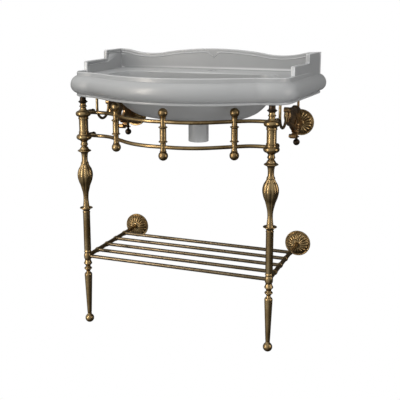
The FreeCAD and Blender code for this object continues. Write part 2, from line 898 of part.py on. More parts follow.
def peg_stem(name):
    """Turned stem with two rings; both rails pass through it."""
    reach = size("peg_length") / 2 - half("peg_ball_dia") + size("peg_ball_seat")
    stem = half("peg_stem_dia")
    grip = half("peg_grip_dia")
    ring = half("peg_ring_dia")
    spacing = size("peg_ring_spacing") / 2
    stud = half("peg_stud_dia") + size("running_clearance")
    depth = size("peg_stud_length") + 1
    body = turned(name, [
        (0, depth - reach),
        (stud, depth - reach),
        (stud, -reach),
        (stem, -reach),
        (stem, -spacing - 2),
        (ring - 2, -spacing - 2, 1.2),
        (ring - 2, -spacing + 1.5),
        (grip, -spacing + 3),
        (grip, spacing - 3),
        (ring - 2, spacing - 1.5, 1.2),
        (ring - 2, spacing + 2),
        (stem, spacing + 2),
        (stem, reach),
        (stud, reach),
        (stud, reach - depth),
        (0, reach - depth),
    ])
    gap = (collar_levels["right"]["upper"] - collar_levels["right"]["lower"]) / 2
    bores = new_sketch(body, f"{name}_rail_outlines", "flank")
    circle(bores, 0, gap, half("rail_dia") + size("running_clearance"))
    circle(bores, 0, -gap, half("rail_dia") + size("running_clearance"))
    pocket(body, f"{name}_rail_bores", bores, 2 * size("peg_grip_dia"), symmetric=True)
    return body


def peg_ball(name, end):
    """Ball with a flat seat on the stem's end and a stud inside it."""
    ball = half("peg_ball_dia")
    drop = ball - size("peg_ball_seat")
    flat = root(ball * ball - drop * drop)
    stud = half("peg_stud_dia")
    seat = size("peg_length") / 2 - drop
    low_chord = (ball - flat) * (ball - flat) + drop * drop
    rise = ball - root(ball * ball - low_chord / 4)
    crown = ball - root(ball * ball / 2)
    body = turned(name, [
        (0, seat - size("peg_stud_length")),
        (stud, seat - size("peg_stud_length")),
        (stud, seat),
        (flat, seat, rise),
        (ball, size("peg_length") / 2, crown),
        (0, size("peg_length") / 2 + ball),
    ])
    turn = 0 if end > 0 else 180
    return body, turn


lower_rail = keep(put(front_rail("lower_rail"), 0, legs_y, collar_levels["right"]["lower"]))
upper_rail = keep(put(front_rail("upper_rail"), 0, legs_y, collar_levels["right"]["upper"]))
peg_level = (collar_levels["right"]["lower"] + collar_levels["right"]["upper"]) / 2
bay = size("rail_bay_angle")
pegs = {
    "left": (-size("side_peg_x"), legs_y + size("side_peg_y"), -bay),
    "middle": (as_size(0), legs_y - size("rail_bow"), as_size(0)),
    "right": (size("side_peg_x"), legs_y + size("side_peg_y"), bay),
}
for word, (x, y, turn) in pegs.items():
    stem = put(peg_stem(f"peg_stem_{word}"), x, y, peg_level, Vector(0, 0, 1), turn)
    stem.setExpression("Placement.Rotation.Angle", turn.text)
    keep(stem)
    balls = []
    for end_word, end in (("upper", 1), ("lower", -1)):
        ball, flip = peg_ball(f"{end_word}_ball_{word}", end)
        balls.append(put(ball, x, y, peg_level, UPRIGHT, flip))
    pair = doc.addObject("Part::Compound", f"peg_balls_{word}")
    pair.Label = f"peg_balls_{word}"
    pair.Links = balls
    keep(pair)


# ---------------------------------------------------------------- shelf

def shelf_rod(name, length):
    rod = doc.addObject("Part::Cylinder", name)
    rod.Label = name
    rod.Radius = half("shelf_rod_dia").value
    rod.setExpression("Radius", half("shelf_rod_dia").text)
    rod.Height = length.value
    rod.setExpression("Height", length.text)
    return rod


def shelf_arm(name, side):
    """Arm from the leg to the wall, with a sleeve round each crossing rod."""
    radius = half("shelf_arm_dia")
    sleeve = half("arm_sleeve_dia")
    width = size("arm_sleeve_length") / 2
    length = size("leg_from_wall") - size("flange_thickness") - size("shelf_arm_seat") - 1
    count = int(size("shelf_rod_count").value)
    stops = [size("shelf_rod_pitch") * n - size("shelf_arm_seat") for n in range(1, count)]
    profile = [(0, 0), (radius, 0)]
    for stop in stops:
        profile.append((radius, stop - width - 1))
        profile.append((sleeve, stop - width, 0.6))
        profile.append((sleeve, stop + width))
        profile.append((radius, stop + width + 1))
    profile.append((radius, length))
    profile.append((0, length))
    body = turned(name, profile)
    seat = size("arm_rod_seat")
    inner = -side
    holes = new_sketch(body, f"{name}_rod_outlines", "flank", inner * seat)
    for stop in stops:
        circle(holes, 0, stop, half("shelf_rod_dia") + size("running_clearance"))
    pocket(body, f"{name}_rod_holes", holes, sleeve, reverse=inner > 0)
    return body


level = shelf_level["right"]
hub_reach = size("leg_half_spacing") - size("shelf_rod_seat") - size("running_clearance")
arm_reach = size("leg_half_spacing") - size("arm_rod_seat") - size("running_clearance")
for number in range(int(size("shelf_rod_count").value)):
    reach = hub_reach if number == 0 else arm_reach
    rod = shelf_rod(f"shelf_rod_{number + 1}", 2 * reach)
    y = legs_y + size("shelf_rod_pitch") * number
    keep(put(rod, -reach, y, level, Vector(0, 1, 0), 90))
for word, side in SIDES.items():
    arm = shelf_arm(f"shelf_arm_{word}", side)
    start = legs_y + size("shelf_arm_seat")
    keep(put(arm, side * size("leg_half_spacing"), start, level, UPRIGHT, TO_WALL))


# ---------------------------------------------------------------- wall roses and flanges

def wall_rose(name, hole):
    """Domed cover that hides the flange on the wall, fluted like a shell."""
    rim = half("rose_dia")
    depth = size("rose_depth")
    shell = size("rose_wall")
    edge = 4.0
    body = turned(name, [
        (rim - shell, 0),
        (rim, 0),
        (rim, edge, 0.4),
        (rim - 4, edge + 1.5),
        (rim - 6, edge + 1, 4.2),
        (hole + 4, depth - 2),
        (hole + 3, depth, 0.4),
        (hole, depth),
        (hole, depth - shell - 1),
        (hole + 4, depth - shell - 1.5, -4.2),
        (rim - 6 - shell / 2, edge - 1),
    ])
    return body


def wall_flange(name, hole):
    """Disc screwed to the wall, with a socket for the arm."""
    disc = half("flange_dia")
    thick = size("flange_thickness")
    socket = half("flange_socket_dia")
    depth = size("flange_socket_depth")
    bore = hole + size("running_clearance")
    body = turned(name, [
        (0, 0),
        (disc, 0),
        (disc, thick),
        (socket, thick),
        (socket, depth),
        (bore, depth),
        (bore, thick),
        (0, thick),
    ])
    screws = new_sketch(body, f"{name}_screw_outlines", "plan", thick)
    for end in (-1, 1):
        circle(screws, 0, end * size("flange_screw_spacing") / 2, half("flange_screw_hole_dia"))
    pocket(body, f"{name}_screw_holes", screws, thick + 1)
    return body


bracket_level = underside - size("bracket_below_basin")
roses = {"upper": (bracket_level, half("bracket_stub_dia")),
         "lower": (level, half("shelf_arm_dia"))}
for height_word, (height, stub) in roses.items():
    flanges = []
    for word, side in SIDES.items():
        x = side * size("leg_half_spacing")
        hole = stub + size("running_clearance")
        rose = wall_rose(f"{height_word}_rose_{word}", hole)
        keep(put(rose, x, wall, height, UPRIGHT, FROM_WALL))
        flange = wall_flange(f"{height_word}_flange_{word}", stub)
        flanges.append(put(flange, x, wall, height, UPRIGHT, FROM_WALL))
    pair = doc.addObject("Part::Compound", f"{height_word}_flanges")
    pair.Label = f"{height_word}_flanges"
    pair.Links = flanges
    keep(pair)


# ---------------------------------------------------------------- scroll brackets

def bracket(name):
    """Cast scroll bracket: a pierced web, a thick leaf on it, a curl, a volute and a post."""
    body = new_body(name)
    thick = size("bracket_thickness")
    web = size("web_thickness")
    below = size("bracket_below_basin")
    tip_y = -size("volute_from_wall")
    tip_z = below - size("volute_drop")
    volute = half("volute_dia")
    curl_y = -size("curl_from_wall")
    curl_z = -size("curl_rise")
    curl = size("curl_radius")
    post_y = -size("post_from_wall")
    root_y = -size("bracket_root_from_wall")
    stub = half("bracket_stub_dia")
    drop_y = -size("drop_from_wall")
    # the web: from the wall up to the volute, and back under the opening
    outline = draw(new_sketch(body, f"{name}_outline", "flank"), [
        (root_y, -stub - 4),
        (root_y, stub + 4, -4),
        (post_y - 2, below - 46, 5),
        (curl_y, below - 34, -4),
        (tip_y + volute, tip_z + volute - 1),
        (tip_y, tip_z - volute + 1, -6),
        (tip_y + 4, 27),
        (tip_y + 40, 12, -6),
        (curl_y - 8, curl_z - 6),
        (drop_y - 12, -23),
        (drop_y + 12, -23, -2),
    ])
    pad(body, f"{name}_web", outline, web, symmetric=True)
    eye = new_sketch(body, f"{name}_opening_outline", "flank")
    circle(eye, curl_y - 4, half("bracket_opening_dia") + 6, half("bracket_opening_dia"))
    pocket(body, f"{name}_opening", eye, 2 * web, symmetric=True)
    # the leaf: a thicker rib along the upper limb, and round the drop's seat
    leaf = draw(new_sketch(body, f"{name}_leaf_outline", "flank"), [
        (post_y - 6, below - 50, 4),
        (curl_y, below - 38, -3),
        (tip_y + 18, below - 36, 10),
        (tip_y + 26, 24, -4),
        (curl_y - 22, 26, -12),
        (curl_y + 14, 40),
    ])
    pad(body, f"{name}_leaf", leaf, thick, symmetric=True)
    seat = draw(new_sketch(body, f"{name}_seat_outline", "flank"), [
        (root_y - 2, -stub),
        (root_y - 2, stub, -3),
        (drop_y - 14, 8, 3),
        (drop_y - 16, -18, 2),
        (drop_y - 9, -23),
        (drop_y + 9, -23, -2),
    ])
    pad(body, f"{name}_seat", seat, thick, symmetric=True)
    # the curl: a band that swings down and forward from the drop's seat, with a knob at its tip
    limb = size("curl_limb")
    turn = size("curl_turn")
    low = cosine(180 - turn)
    out, inside = curl * low, (curl - limb) * low
    fall, fall_inside = curl * sine(turn), (curl - limb) * sine(turn)
    band = draw(new_sketch(body, f"{name}_curl_outline", "flank"), [
        (curl_y - out, curl_z - fall, arc_rise(curl, turn)),
        (curl_y + curl, curl_z),
        (curl_y + curl - limb, curl_z, -arc_rise(curl - limb, turn)),
        (curl_y - inside, curl_z - fall_inside),
    ])
    pad(body, f"{name}_curl", band, thick, symmetric=True)
    knobs = new_sketch(body, f"{name}_knob_outlines", "flank")
    circle(knobs, curl_y - (out + inside) / 2, curl_z - (fall + fall_inside) / 2, limb * 0.8)
    pad(body, f"{name}_curl_knob", knobs, thick + 2, symmetric=True)
    roll = new_sketch(body, f"{name}_volute_outline", "flank")
    circle(roll, tip_y, tip_z, volute)
    pad(body, f"{name}_volute", roll, web + 3, symmetric=True)
    reach = size("bracket_stub_reach")
    section = new_sketch(body, f"{name}_stub_section", "side", reach)
    circle(section, 0, 0, stub)
    pad(body, f"{name}_stub", section, size("bracket_root_from_wall") + 8 - reach)
    post = new_sketch(body, f"{name}_post_outline", "plan", below)
    circle(post, 0, post_y, half("post_dia"))
    pad(body, f"{name}_post", post, below - stub, reverse=True)
    screw = new_sketch(body, f"{name}_drop_outline", "plan", as_size(-12))
    circle(screw, 0, drop_y, half("knob_screw_dia") + size("running_clearance"))
    pocket(body, f"{name}_drop_bore", screw, as_size(20))
    socket = new_sketch(body, f"{name}_tendril_outline", "plan", tip_z - 2)
    circle(socket, 0, tip_y, half("tendril_dia") + size("running_clearance"))
    pocket(body, f"{name}_tendril_bore", socket, below)
    return body


def tendril(name):
    """Rod that hangs from the basin, loops under and ends in the bracket's volute."""
    body = new_body(name)
    below = size("bracket_below_basin")
    front = -size("tendril_front_from_wall")
    back = -size("volute_from_wall")
    radius = (back - front) / 2
    turn_level = below - size("tendril_drop") + half("tendril_dia") + radius
    end = below - size("volute_drop") - 2 - size("running_clearance")
    path = draw(new_sketch(body, f"{name}_route", "flank"), [
        (front, below),
        (front, turn_level, radius),
        (back, turn_level),
        (back, end),
    ], closed=False)
    section = new_sketch(body, f"{name}_section", "plan", below)
    circle(section, 0, front, half("tendril_dia"))
    pipe = body.newObject("PartDesign::AdditivePipe", f"{name}_pipe")
    pipe.Profile = section
    pipe.Spine = (path, [])
    return body


def drop_finial(name):
    """Dark turned drop screwed up into the bracket."""
    ball = half("drop_ball_dia")
    length = size("drop_length")
    screw = half("knob_screw_dia")
    stem = screw + 2.2
    crown = ball - root(ball * ball / 2)
    neck = 4.2
    lift = root(ball * ball - neck * neck)
    span = root((ball - neck) * (ball - neck) + lift * lift)
    rise = ball - root(ball * ball - span * span / 4)
    return turned(name, [
        (0, -length, crown),
        (ball, ball - length, rise),
        (neck, ball + lift - length),
        (neck, -20.5),
        (8.2, -19.5, 0.8),
        (8.2, -16),
        (stem, -15),
        (stem - 0.5, 0),
        (screw, 0),
        (screw, 10),
        (0, 10),
    ])


for word, side in SIDES.items():
    x = side * size("leg_half_spacing")
    keep(put(bracket(f"bracket_{word}"), x, wall, bracket_level))
    keep(put(tendril(f"tendril_{word}"), x, wall, bracket_level))
    drop = drop_finial(f"drop_finial_{word}")
    keep(put(drop, x, wall - size("drop_from_wall"), bracket_level - 23))


# ---------------------------------------------------------------- ceramic basin

front_y = -(size("basin_depth") / 2) + size("roll_proud")
side_x = size("basin_width") / 2 - size("roll_proud")


def basin_plan(offset, overrun=0.0):
    """Plan of the basin's rim, offset outwards, drawn anticlockwise from the back left.

    The canted sides may overrun the wall, for a moulding that is trimmed there.
    """
    offset = as_size(offset)
    overrun = as_size(overrun)
    bow = size("bow_angle")
    slope = size("shoulder_angle")
    cant = size("side_cant")
    centre_y = front_y + size("bow_radius")
    bow_reach = size("bow_radius") + offset
    hollow = size("ogee_radius") - offset
    corner = size("corner_radius") + offset
    spread = size("ogee_radius") + size("corner_radius")
    reach = size("bow_radius") + size("ogee_radius")
    flank = size("bow_flank")
    # centre of the hollow turn, outside the basin
    ogee_x = reach * sine(bow) + flank * cosine(bow)
    ogee_y = centre_y - reach * cosine(bow) + flank * sine(bow)
    # centre of the corner, inside it: touched by the shoulder's line and the side's line
    shoulder_y = ogee_y + spread / cosine(slope) - ogee_x * tangent(slope)
    side_x_there = side_x - tangent(cant) * (wall - shoulder_y)
    corner_x = (side_x_there - size("corner_radius") / cosine(cant)) / (
        1 - tangent(cant) * tangent(slope)
    )
    corner_y = shoulder_y + corner_x * tangent(slope)
    back_x = side_x + offset / cosine(cant) + overrun * tangent(cant)
    half_plan = [
        (bow_reach * sine(bow), centre_y - bow_reach * cosine(bow)),
        (ogee_x - hollow * sine(bow), ogee_y + hollow * cosine(bow),
         -arc_rise(hollow, bow - slope)),
        (ogee_x - hollow * sine(slope), ogee_y + hollow * cosine(slope)),
        (corner_x + corner * sine(slope), corner_y - corner * cosine(slope),
         arc_rise(corner, 90 - slope - cant)),
        (corner_x + corner * cosine(cant), corner_y - corner * sine(cant)),
        (back_x, wall + overrun),
    ]
    # on the left the same corners come in reverse, and each rise moves to the arc's start
    left = [
        (-half_plan[5][0], half_plan[5][1]),
        (-half_plan[4][0], half_plan[4][1], half_plan[3][2]),
        (-half_plan[3][0], half_plan[3][1]),
        (-half_plan[2][0], half_plan[2][1], half_plan[1][2]),
        (-half_plan[1][0], half_plan[1][1]),
        (-half_plan[0][0], half_plan[0][1], arc_rise(bow_reach, 2 * bow)),
    ]
    return left + half_plan


def bowl_plan(share, offset):
    """Plan of the bowl, shrunk by a share towards a point near its back edge, then offset."""
    share = as_size(share)
    offset = as_size(offset)
    focus = wall - size("bowl_focus_from_wall")
    back_edge = wall - size("bowl_back")
    front_edge = back_edge - size("bowl_length")
    width = size("bowl_half_width") * share + offset
    back = focus + (back_edge - focus) * share + offset
    front = focus + (front_edge - focus) * share - offset
    bow = size("bowl_front_radius") * share + offset
    end = size("bowl_end_radius") * share + offset
    rear = size("bowl_rear_radius") * share + offset
    # the front bow touches the end arcs, whose centres lie level with each other
    arm = width - end
    reach = bow - end
    fall = root(reach * reach - arm * arm)
    corner_y = front + bow - fall
    touch_x = bow * arm / reach
    touch_y = front + bow - bow * fall / reach
    front_rise = bow - root(bow * bow - touch_x * touch_x)
    across, along = width - touch_x, corner_y - touch_y
    side_rise = end - root(end * end - (across * across + along * along) / 4)
    rear_rise = arc_rise(rear, RIGHT_ANGLE)
    return [
        (-(width - rear), back, rear_rise),
        (-width, back - rear),
        (-width, corner_y, side_rise),
        (-touch_x, touch_y, front_rise),
        (touch_x, touch_y, side_rise),
        (width, corner_y),
        (width, back - rear, rear_rise),
        (width - rear, back),
    ]


def bowl_loft(body, kind, name, steps, offset):
    """Loft through shrunken plans of the bowl; a step is (level, share)."""
    sketches = []
    for index, (height, share) in enumerate(steps):
        sketch = new_sketch(body, f"{name}_plan_{index + 1}", "plan", height)
        sketches.append(draw(sketch, bowl_plan(share, offset)))
    loft = body.newObject(f"PartDesign::{kind}", name)
    loft.Profile = sketches[0]
    loft.Sections = sketches[1:]
    return loft


BOWL_STEPS = [
    # how deep, as a share of the bowl's depth, and the plan's share there
    (0.0, 1.0),
    (0.13, 0.965),
    (0.4, 0.9),
    (0.6, 0.83),
    (0.74, 0.76),
    (0.87, 0.66),
    (0.95, 0.53),
    (1.0, 0.34),
]


def hollow_plan():
    """Plan of the hollow underside: broad lands at the sides carry the frame."""
    land = size("underside_land")
    x = side_x - land
    back = wall - size("back_land")
    front = front_y + size("front_land")
    corner_x = x - size("corner_land_x")
    corner_y = front + size("corner_land_y")
    return [
        (-x, back),
        (-x, corner_y),
        (-corner_x, front),
        (corner_x, front),
        (x, corner_y),
        (x, back),
    ]


def splash_outline(foot, top):
    """Upstand at the wall: an arch in the middle, a hollow each side, raised ends."""
    width = size("splash_half_width")
    arch = size("splash_arch_half")
    end = width - size("splash_end_run")
    drop = size("splash_arch_drop")
    end_drop = size("splash_end_drop")
    hollow = -size("splash_hollow")
    return [
        (-width, foot),
        (width, foot),
        (width, top - end_drop),
        (end, top - end_drop - 2, hollow),
        (arch, top - drop, drop),
        (-arch, top - drop, hollow),
        (-end, top - end_drop - 2),
        (-width, top - end_drop),
    ]


def wing_outline(foot, top):
    """Side wing, stepped down once towards the front, its corners eased."""
    buried = -half("splash_thickness")
    high = -size("wing_high_run")
    low = high - size("wing_low_run")
    step = top - size("wing_step")
    ease = size("wing_ease")
    rise = arc_rise(ease, RIGHT_ANGLE)
    return [
        (low, foot),
        (buried, foot),
        (buried, top),
        (high + ease, top, rise),
        (high, top - ease),
        (high, step + ease, -rise),
        (high - ease, step),
        (low + ease, step, rise),
        (low, step - ease),
    ]


def basin(name):
    """One casting: deck, roll, lip, bowl, outlet, splash upstand and stepped wings."""
    body = new_body(name)
    lip = size("rim_height")
    deck = lip - size("deck_drop")
    # deck slab, hollow underneath but for its lands
    slab = new_sketch(body, f"{name}_deck_plan", "plan")
    draw(slab, basin_plan(2 - size("rim_land")))
    pad(body, f"{name}_deck", slab, deck)
    hollow = draw(new_sketch(body, f"{name}_hollow_plan", "plan"), hollow_plan())
    pocket(body, f"{name}_hollow", hollow, deck - size("deck_thickness"), reverse=True)
    # rim moulding, swept along the plan from wall to wall
    path = new_sketch(body, f"{name}_rim_route", "plan")
    overrun = size("rim_overrun")
    draw(path, basin_plan(0, overrun), closed=False)
    proud = size("roll_proud")
    bead = size("bead_height")
    waist = bead + size("roll_waist")
    crown = bead + size("roll_height")
    tuck = size("bead_tuck")
    inner = size("lip_inset")
    outer = inner - size("lip_width")
    ease = size("lip_ease")
    land = size("rim_land")
    edge = -(side_x + overrun * tangent(size("side_cant")))
    section = new_sketch(body, f"{name}_rim_section", "side", -(wall + overrun))
    draw(section, [
        (edge - proud, waist, upright_rise(proud + tuck, waist - bead)),
        (edge + tuck, bead),
        (edge + tuck, bead - 1, arc_rise(half("bead_height"), size("bead_turn"))),
        (edge + tuck, 0),
        (edge + land, 0),
        (edge + land, deck),
        (edge + inner, deck),
        (edge + inner - 1, lip - ease, arc_rise(ease, RIGHT_ANGLE)),
        (edge + inner - 1 - ease, lip),
        (edge + outer + ease, lip, arc_rise(ease, RIGHT_ANGLE)),
        (edge + outer, lip - ease),
        (edge + outer, crown + 1),
        (edge, crown, upright_rise(proud, crown - waist)),
    ])
    rim = body.newObject("PartDesign::AdditivePipe", f"{name}_rim")
    rim.Profile = section
    rim.Spine = (path, [])
    trim = new_sketch(body, f"{name}_wall_trim", "side", -wall)
    reach = size("basin_width")
    draw(trim, [(-reach, -reach), (reach, -reach), (reach, reach), (-reach, reach)])
    pocket(body, f"{name}_wall_cut", trim, 2 * overrun + proud)
    # bowl: an outer form under the deck, then the cavity out of it
    depth = size("bowl_depth")
    thick = size("bowl_wall")
    outside = [(deck - 3, 1.0)]
    for down, share in BOWL_STEPS[1:]:
        outside.append((deck - (depth + thick) * down, share))
    bowl_loft(body, "AdditiveLoft", f"{name}_bowl_form", outside, thick)
    # outlet under the bowl
    focus = wall - size("outlet_from_wall")
    floor = deck - depth
    outlet = new_sketch(body, f"{name}_outlet_plan", "plan", floor - thick / 2)
    circle(outlet, 0, focus, half("outlet_dia"))
    reach = size("outlet_length") + thick / 2
    pad(body, f"{name}_outlet", outlet, reach, reverse=True)
    cavity = [(deck - depth * down, share) for down, share in BOWL_STEPS]
    doc.recompute()
    before = body.Shape.Volume
    bowl_loft(body, "SubtractiveLoft", f"{name}_cavity", cavity, 0)
    doc.recompute()
    if body.Shape.Volume >= before:
        raise RuntimeError("the bowl's cavity cuts nothing")
    waste = new_sketch(body, f"{name}_waste_plan", "plan", floor + 20)
    circle(waste, 0, focus, half("waste_hole_dia"))
    pocket(body, f"{name}_waste_hole", waste, reach + thick + 40)
    tap = new_sketch(body, f"{name}_tap_plan", "plan", deck + 1)
    circle(tap, 0, wall - size("tap_from_wall"), half("tap_hole_dia"))
    pocket(body, f"{name}_tap_hole", tap, size("deck_thickness") + 3)
    # upstand at the wall and the two stepped wings
    top = deck + size("splash_height")
    upstand = new_sketch(body, f"{name}_splash_outline", "side", -wall)
    draw(upstand, splash_outline(deck - 6, top))
    pad(body, f"{name}_splash", upstand, size("splash_thickness"))
    wing = new_sketch(body, f"{name}_wing_outline", "flank")
    width = size("splash_half_width")
    cant = size("wing_cant")
    lean = Rotation(Vector(0, -1, 0), cant.value)
    wing.AttachmentOffset = Placement(Vector(wall.value, 0, width.value), lean)
    wing.setExpression("AttachmentOffset.Base.x", wall.text)
    wing.setExpression("AttachmentOffset.Base.z", width.text)
    wing.setExpression("AttachmentOffset.Rotation.Angle", cant.text)
    draw(wing, wing_outline(deck - 6, top - size("splash_end_drop")))
    right_wing = pad(body, f"{name}_wing", wing, size("wing_thickness"), reverse=True)
    doc.recompute()
    mirror = body.newObject("PartDesign::Mirrored", f"{name}_wing_mirror")
    mirror.Originals = [right_wing]
    middle = next(item for item in body.Origin.OriginFeatures if item.Role == "YZ_Plane")
    mirror.MirrorPlane = (middle, [""])
    body.Tip = mirror
    doc.recompute()
    bolts = new_sketch(body, f"{name}_bolt_outlines", "side", -(wall + 1))
    for end in (-1, 1):
        x = end * size("wall_bolt_spacing") / 2
        circle(bolts, x, deck - size("wall_bolt_drop"), half("wall_bolt_hole_dia"))
    pocket(body, f"{name}_bolt_holes", bolts, size("back_land") + 3, reverse=True)
    return body


sink = keep(put(basin("basin"), 0, 0, underside))


# ---------------------------------------------------------------- check and write out

doc.recompute()
faults = []
for item in doc.Objects:
    if "Invalid" in item.State or "Error" in item.State:
        faults.append(f"{item.Name}: {item.State}")
for piece in PARTS:
    if piece.Shape.isNull() or not piece.Shape.isValid():
        faults.append(f"{piece.Label}: bad shape")
if faults:
    raise RuntimeError("; ".join(faults))

os.makedirs("parts", exist_ok=True)
for piece in PARTS:
    piece.Shape.exportStep(f"parts/{piece.Label}.step")
    print(f"{piece.Label}: {piece.Shape.Volume / 1000:.1f} cm3")
print(f"{len(PARTS)} pieces")
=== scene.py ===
# %% [markdown]
# # A console basin on turned brass legs
# The object is a glazed ceramic basin whose back hangs on the wall. Two turned brass legs
# carry its front corners, serpentine towel rails join them, and a shelf of brass rods runs
# back to the wall. The CAD model is the fixed frame: it says where every piece is and how
# large. This script gives each piece the surface, the edges and the light of the real one.
# It works in millimetres, as a maker would, and turns them to metres in one place.

# %% Load the frame
import json
import math

import bmesh
import bpy
import numpy as np
from mathutils import Matrix, Vector
from mathutils.geometry import tessellate_polygon


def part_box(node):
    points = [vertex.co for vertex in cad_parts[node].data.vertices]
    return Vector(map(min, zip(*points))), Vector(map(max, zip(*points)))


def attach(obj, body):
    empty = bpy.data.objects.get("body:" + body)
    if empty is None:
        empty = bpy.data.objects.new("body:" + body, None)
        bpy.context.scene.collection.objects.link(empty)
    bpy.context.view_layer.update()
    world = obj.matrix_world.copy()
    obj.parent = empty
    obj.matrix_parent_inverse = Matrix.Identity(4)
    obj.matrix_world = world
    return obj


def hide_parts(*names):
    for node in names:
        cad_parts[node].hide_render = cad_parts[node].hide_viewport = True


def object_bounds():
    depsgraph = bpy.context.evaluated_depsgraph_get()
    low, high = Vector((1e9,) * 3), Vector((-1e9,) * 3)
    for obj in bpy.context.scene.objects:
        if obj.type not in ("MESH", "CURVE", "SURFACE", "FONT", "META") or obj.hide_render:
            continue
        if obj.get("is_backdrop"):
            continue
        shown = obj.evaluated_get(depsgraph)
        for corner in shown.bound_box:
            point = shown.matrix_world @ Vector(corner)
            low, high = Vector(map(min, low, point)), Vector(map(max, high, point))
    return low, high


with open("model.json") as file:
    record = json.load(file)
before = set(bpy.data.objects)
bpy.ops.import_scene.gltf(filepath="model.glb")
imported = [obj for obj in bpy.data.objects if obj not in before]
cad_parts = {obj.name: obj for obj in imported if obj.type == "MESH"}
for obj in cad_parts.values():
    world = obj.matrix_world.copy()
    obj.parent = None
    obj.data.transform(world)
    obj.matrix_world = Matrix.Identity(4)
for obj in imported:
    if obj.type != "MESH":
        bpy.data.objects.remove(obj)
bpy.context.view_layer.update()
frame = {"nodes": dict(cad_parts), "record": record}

MM = 0.001

# %% [markdown]
# ## Colours and nodes
# Colours are written as a painter's hex values, in sRGB. Shaders work in linear light, so
# one function does the change. A second small function adds a node, sets it up and links
# it, which keeps each material readable from top to bottom.

# %% Two helpers for materials
def linear(hex_text):
    shares = [int(hex_text[i:i + 2], 16) / 255 for i in (1, 3, 5)]
    flat = [s / 12.92 if s <= 0.04045 else ((s + 0.055) / 1.055) ** 2.4 for s in shares]
    return (*flat, 1.0)


def add(tree, kind, inputs=None, **settings):
    """Add one node; an input is a plain value or the socket that feeds it."""
    node = tree.nodes.new(kind)
    for name, value in settings.items():
        setattr(node, name, value)
    for name, value in (inputs or {}).items():
        if isinstance(value, bpy.types.NodeSocket):
            tree.links.new(value, node.inputs[name])
        else:
            node.inputs[name].default_value = value
    return node


def new_material(name):
    material = bpy.data.materials.new(name)
    material.use_nodes = True
    tree = material.node_tree
    tree.nodes.clear()
    return material, tree


def speckle(tree, size_mm, detail=3.0, roughness=0.5):
    """Noise whose blotches are about size_mm across."""
    place = add(tree, "ShaderNodeTexCoord").outputs["Object"]
    return add(tree, "ShaderNodeTexNoise", {
        "Vector": place, "Scale": 1 / (size_mm * MM), "Detail": detail,
        "Roughness": roughness,
    }).outputs["Fac"]


def span(tree, value, low, high, to_low=0.0, to_high=1.0):
    return add(tree, "ShaderNodeMapRange", {
        "Value": value, "From Min": low, "From Max": high, "To Min": to_low,
        "To Max": to_high,
    }, interpolation_type="SMOOTHSTEP").outputs["Result"]


def mixed(tree, share, first, second):
    node = add(tree, "ShaderNodeMix", {"Factor": share}, data_type="RGBA")
    for socket, value in ((node.inputs[6], first), (node.inputs[7], second)):
        if isinstance(value, bpy.types.NodeSocket):
            tree.links.new(value, socket)
        else:
            socket.default_value = value
    return node.outputs[2]


print("white in linear light:", linear("#FFFFFF"))

# %% [markdown]
# ## Glazed ceramic
# Fired clay under a grey glaze. The glaze is glass, so it has a sharp, weak reflection
# over a matt body. It flows before it sets: it thins on edges and pools in hollows, which
# show darker. Edges are painted paler, partly for the thin glaze and partly as a painted
# highlight, the light line that each rounded edge catches. Pointiness gives both: it is 0.5
# on a flat face, more on an edge and less in a hollow. A broad, faint waviness breaks the
# reflections, as on any large casting.

# %% Glazed ceramic material
def glazed_ceramic():
    material, tree = new_material("glazed_ceramic_grey")
    edges = add(tree, "ShaderNodeNewGeometry").outputs["Pointiness"]
    body = mixed(tree, speckle(tree, 60), linear("#A2A3A4"), linear("#A9AAAB"))
    # paler edges: partly thin glaze, partly a painted highlight on the rounded edges
    thin_glaze_and_edge_highlight = span(tree, edges, 0.51, 0.575)
    pooled = span(tree, edges, 0.485, 0.42)
    colour = mixed(tree, thin_glaze_and_edge_highlight, body, linear("#DCDDDE"))
    colour = mixed(tree, pooled, colour, linear("#86878A"))
    wave = add(tree, "ShaderNodeBump", {
        "Height": speckle(tree, 45, detail=1.0), "Strength": 0.05, "Distance": 1.5 * MM,
    })
    shader = add(tree, "ShaderNodeBsdfPrincipled", {
        "Base Color": colour, "Roughness": span(tree, speckle(tree, 30), 0, 1, 0.34, 0.42),
        "Normal": wave.outputs["Normal"], "IOR": 1.52, "Coat Weight": 0.2,
        "Coat Roughness": 0.2, "Coat IOR": 1.5,
    })
    add(tree, "ShaderNodeOutputMaterial", {"Surface": shader.outputs["BSDF"]})
    return material


ceramic = glazed_ceramic()
print("made", ceramic.name)

# %% [markdown]
# ## Antique brass, dark bronze and zinc-plated steel
# The brass is darkened in a bath, rubbed back by hand and lacquered. Rubbing brings the
# yellow back on rims and crests and leaves the creases nearly black, and the bath leaves
# olive and red-brown clouds. The shelf rods are drawn bar in a darker, browner copy of the
# brass: that darkening is painted shade on the rods. The brackets are cast and look coppery;
# their crests are paler and their creases darker than the brass's, partly rubbing and patina
# and partly a painted highlight and painted shade that bring out the carved relief. The caps,
# knobs and drops stay dark all over. The flanges are plain zinc-plated steel. The real grain
# of rubbed metal is far finer than a pixel, so it is drawn 2 to 3 mm wide here.

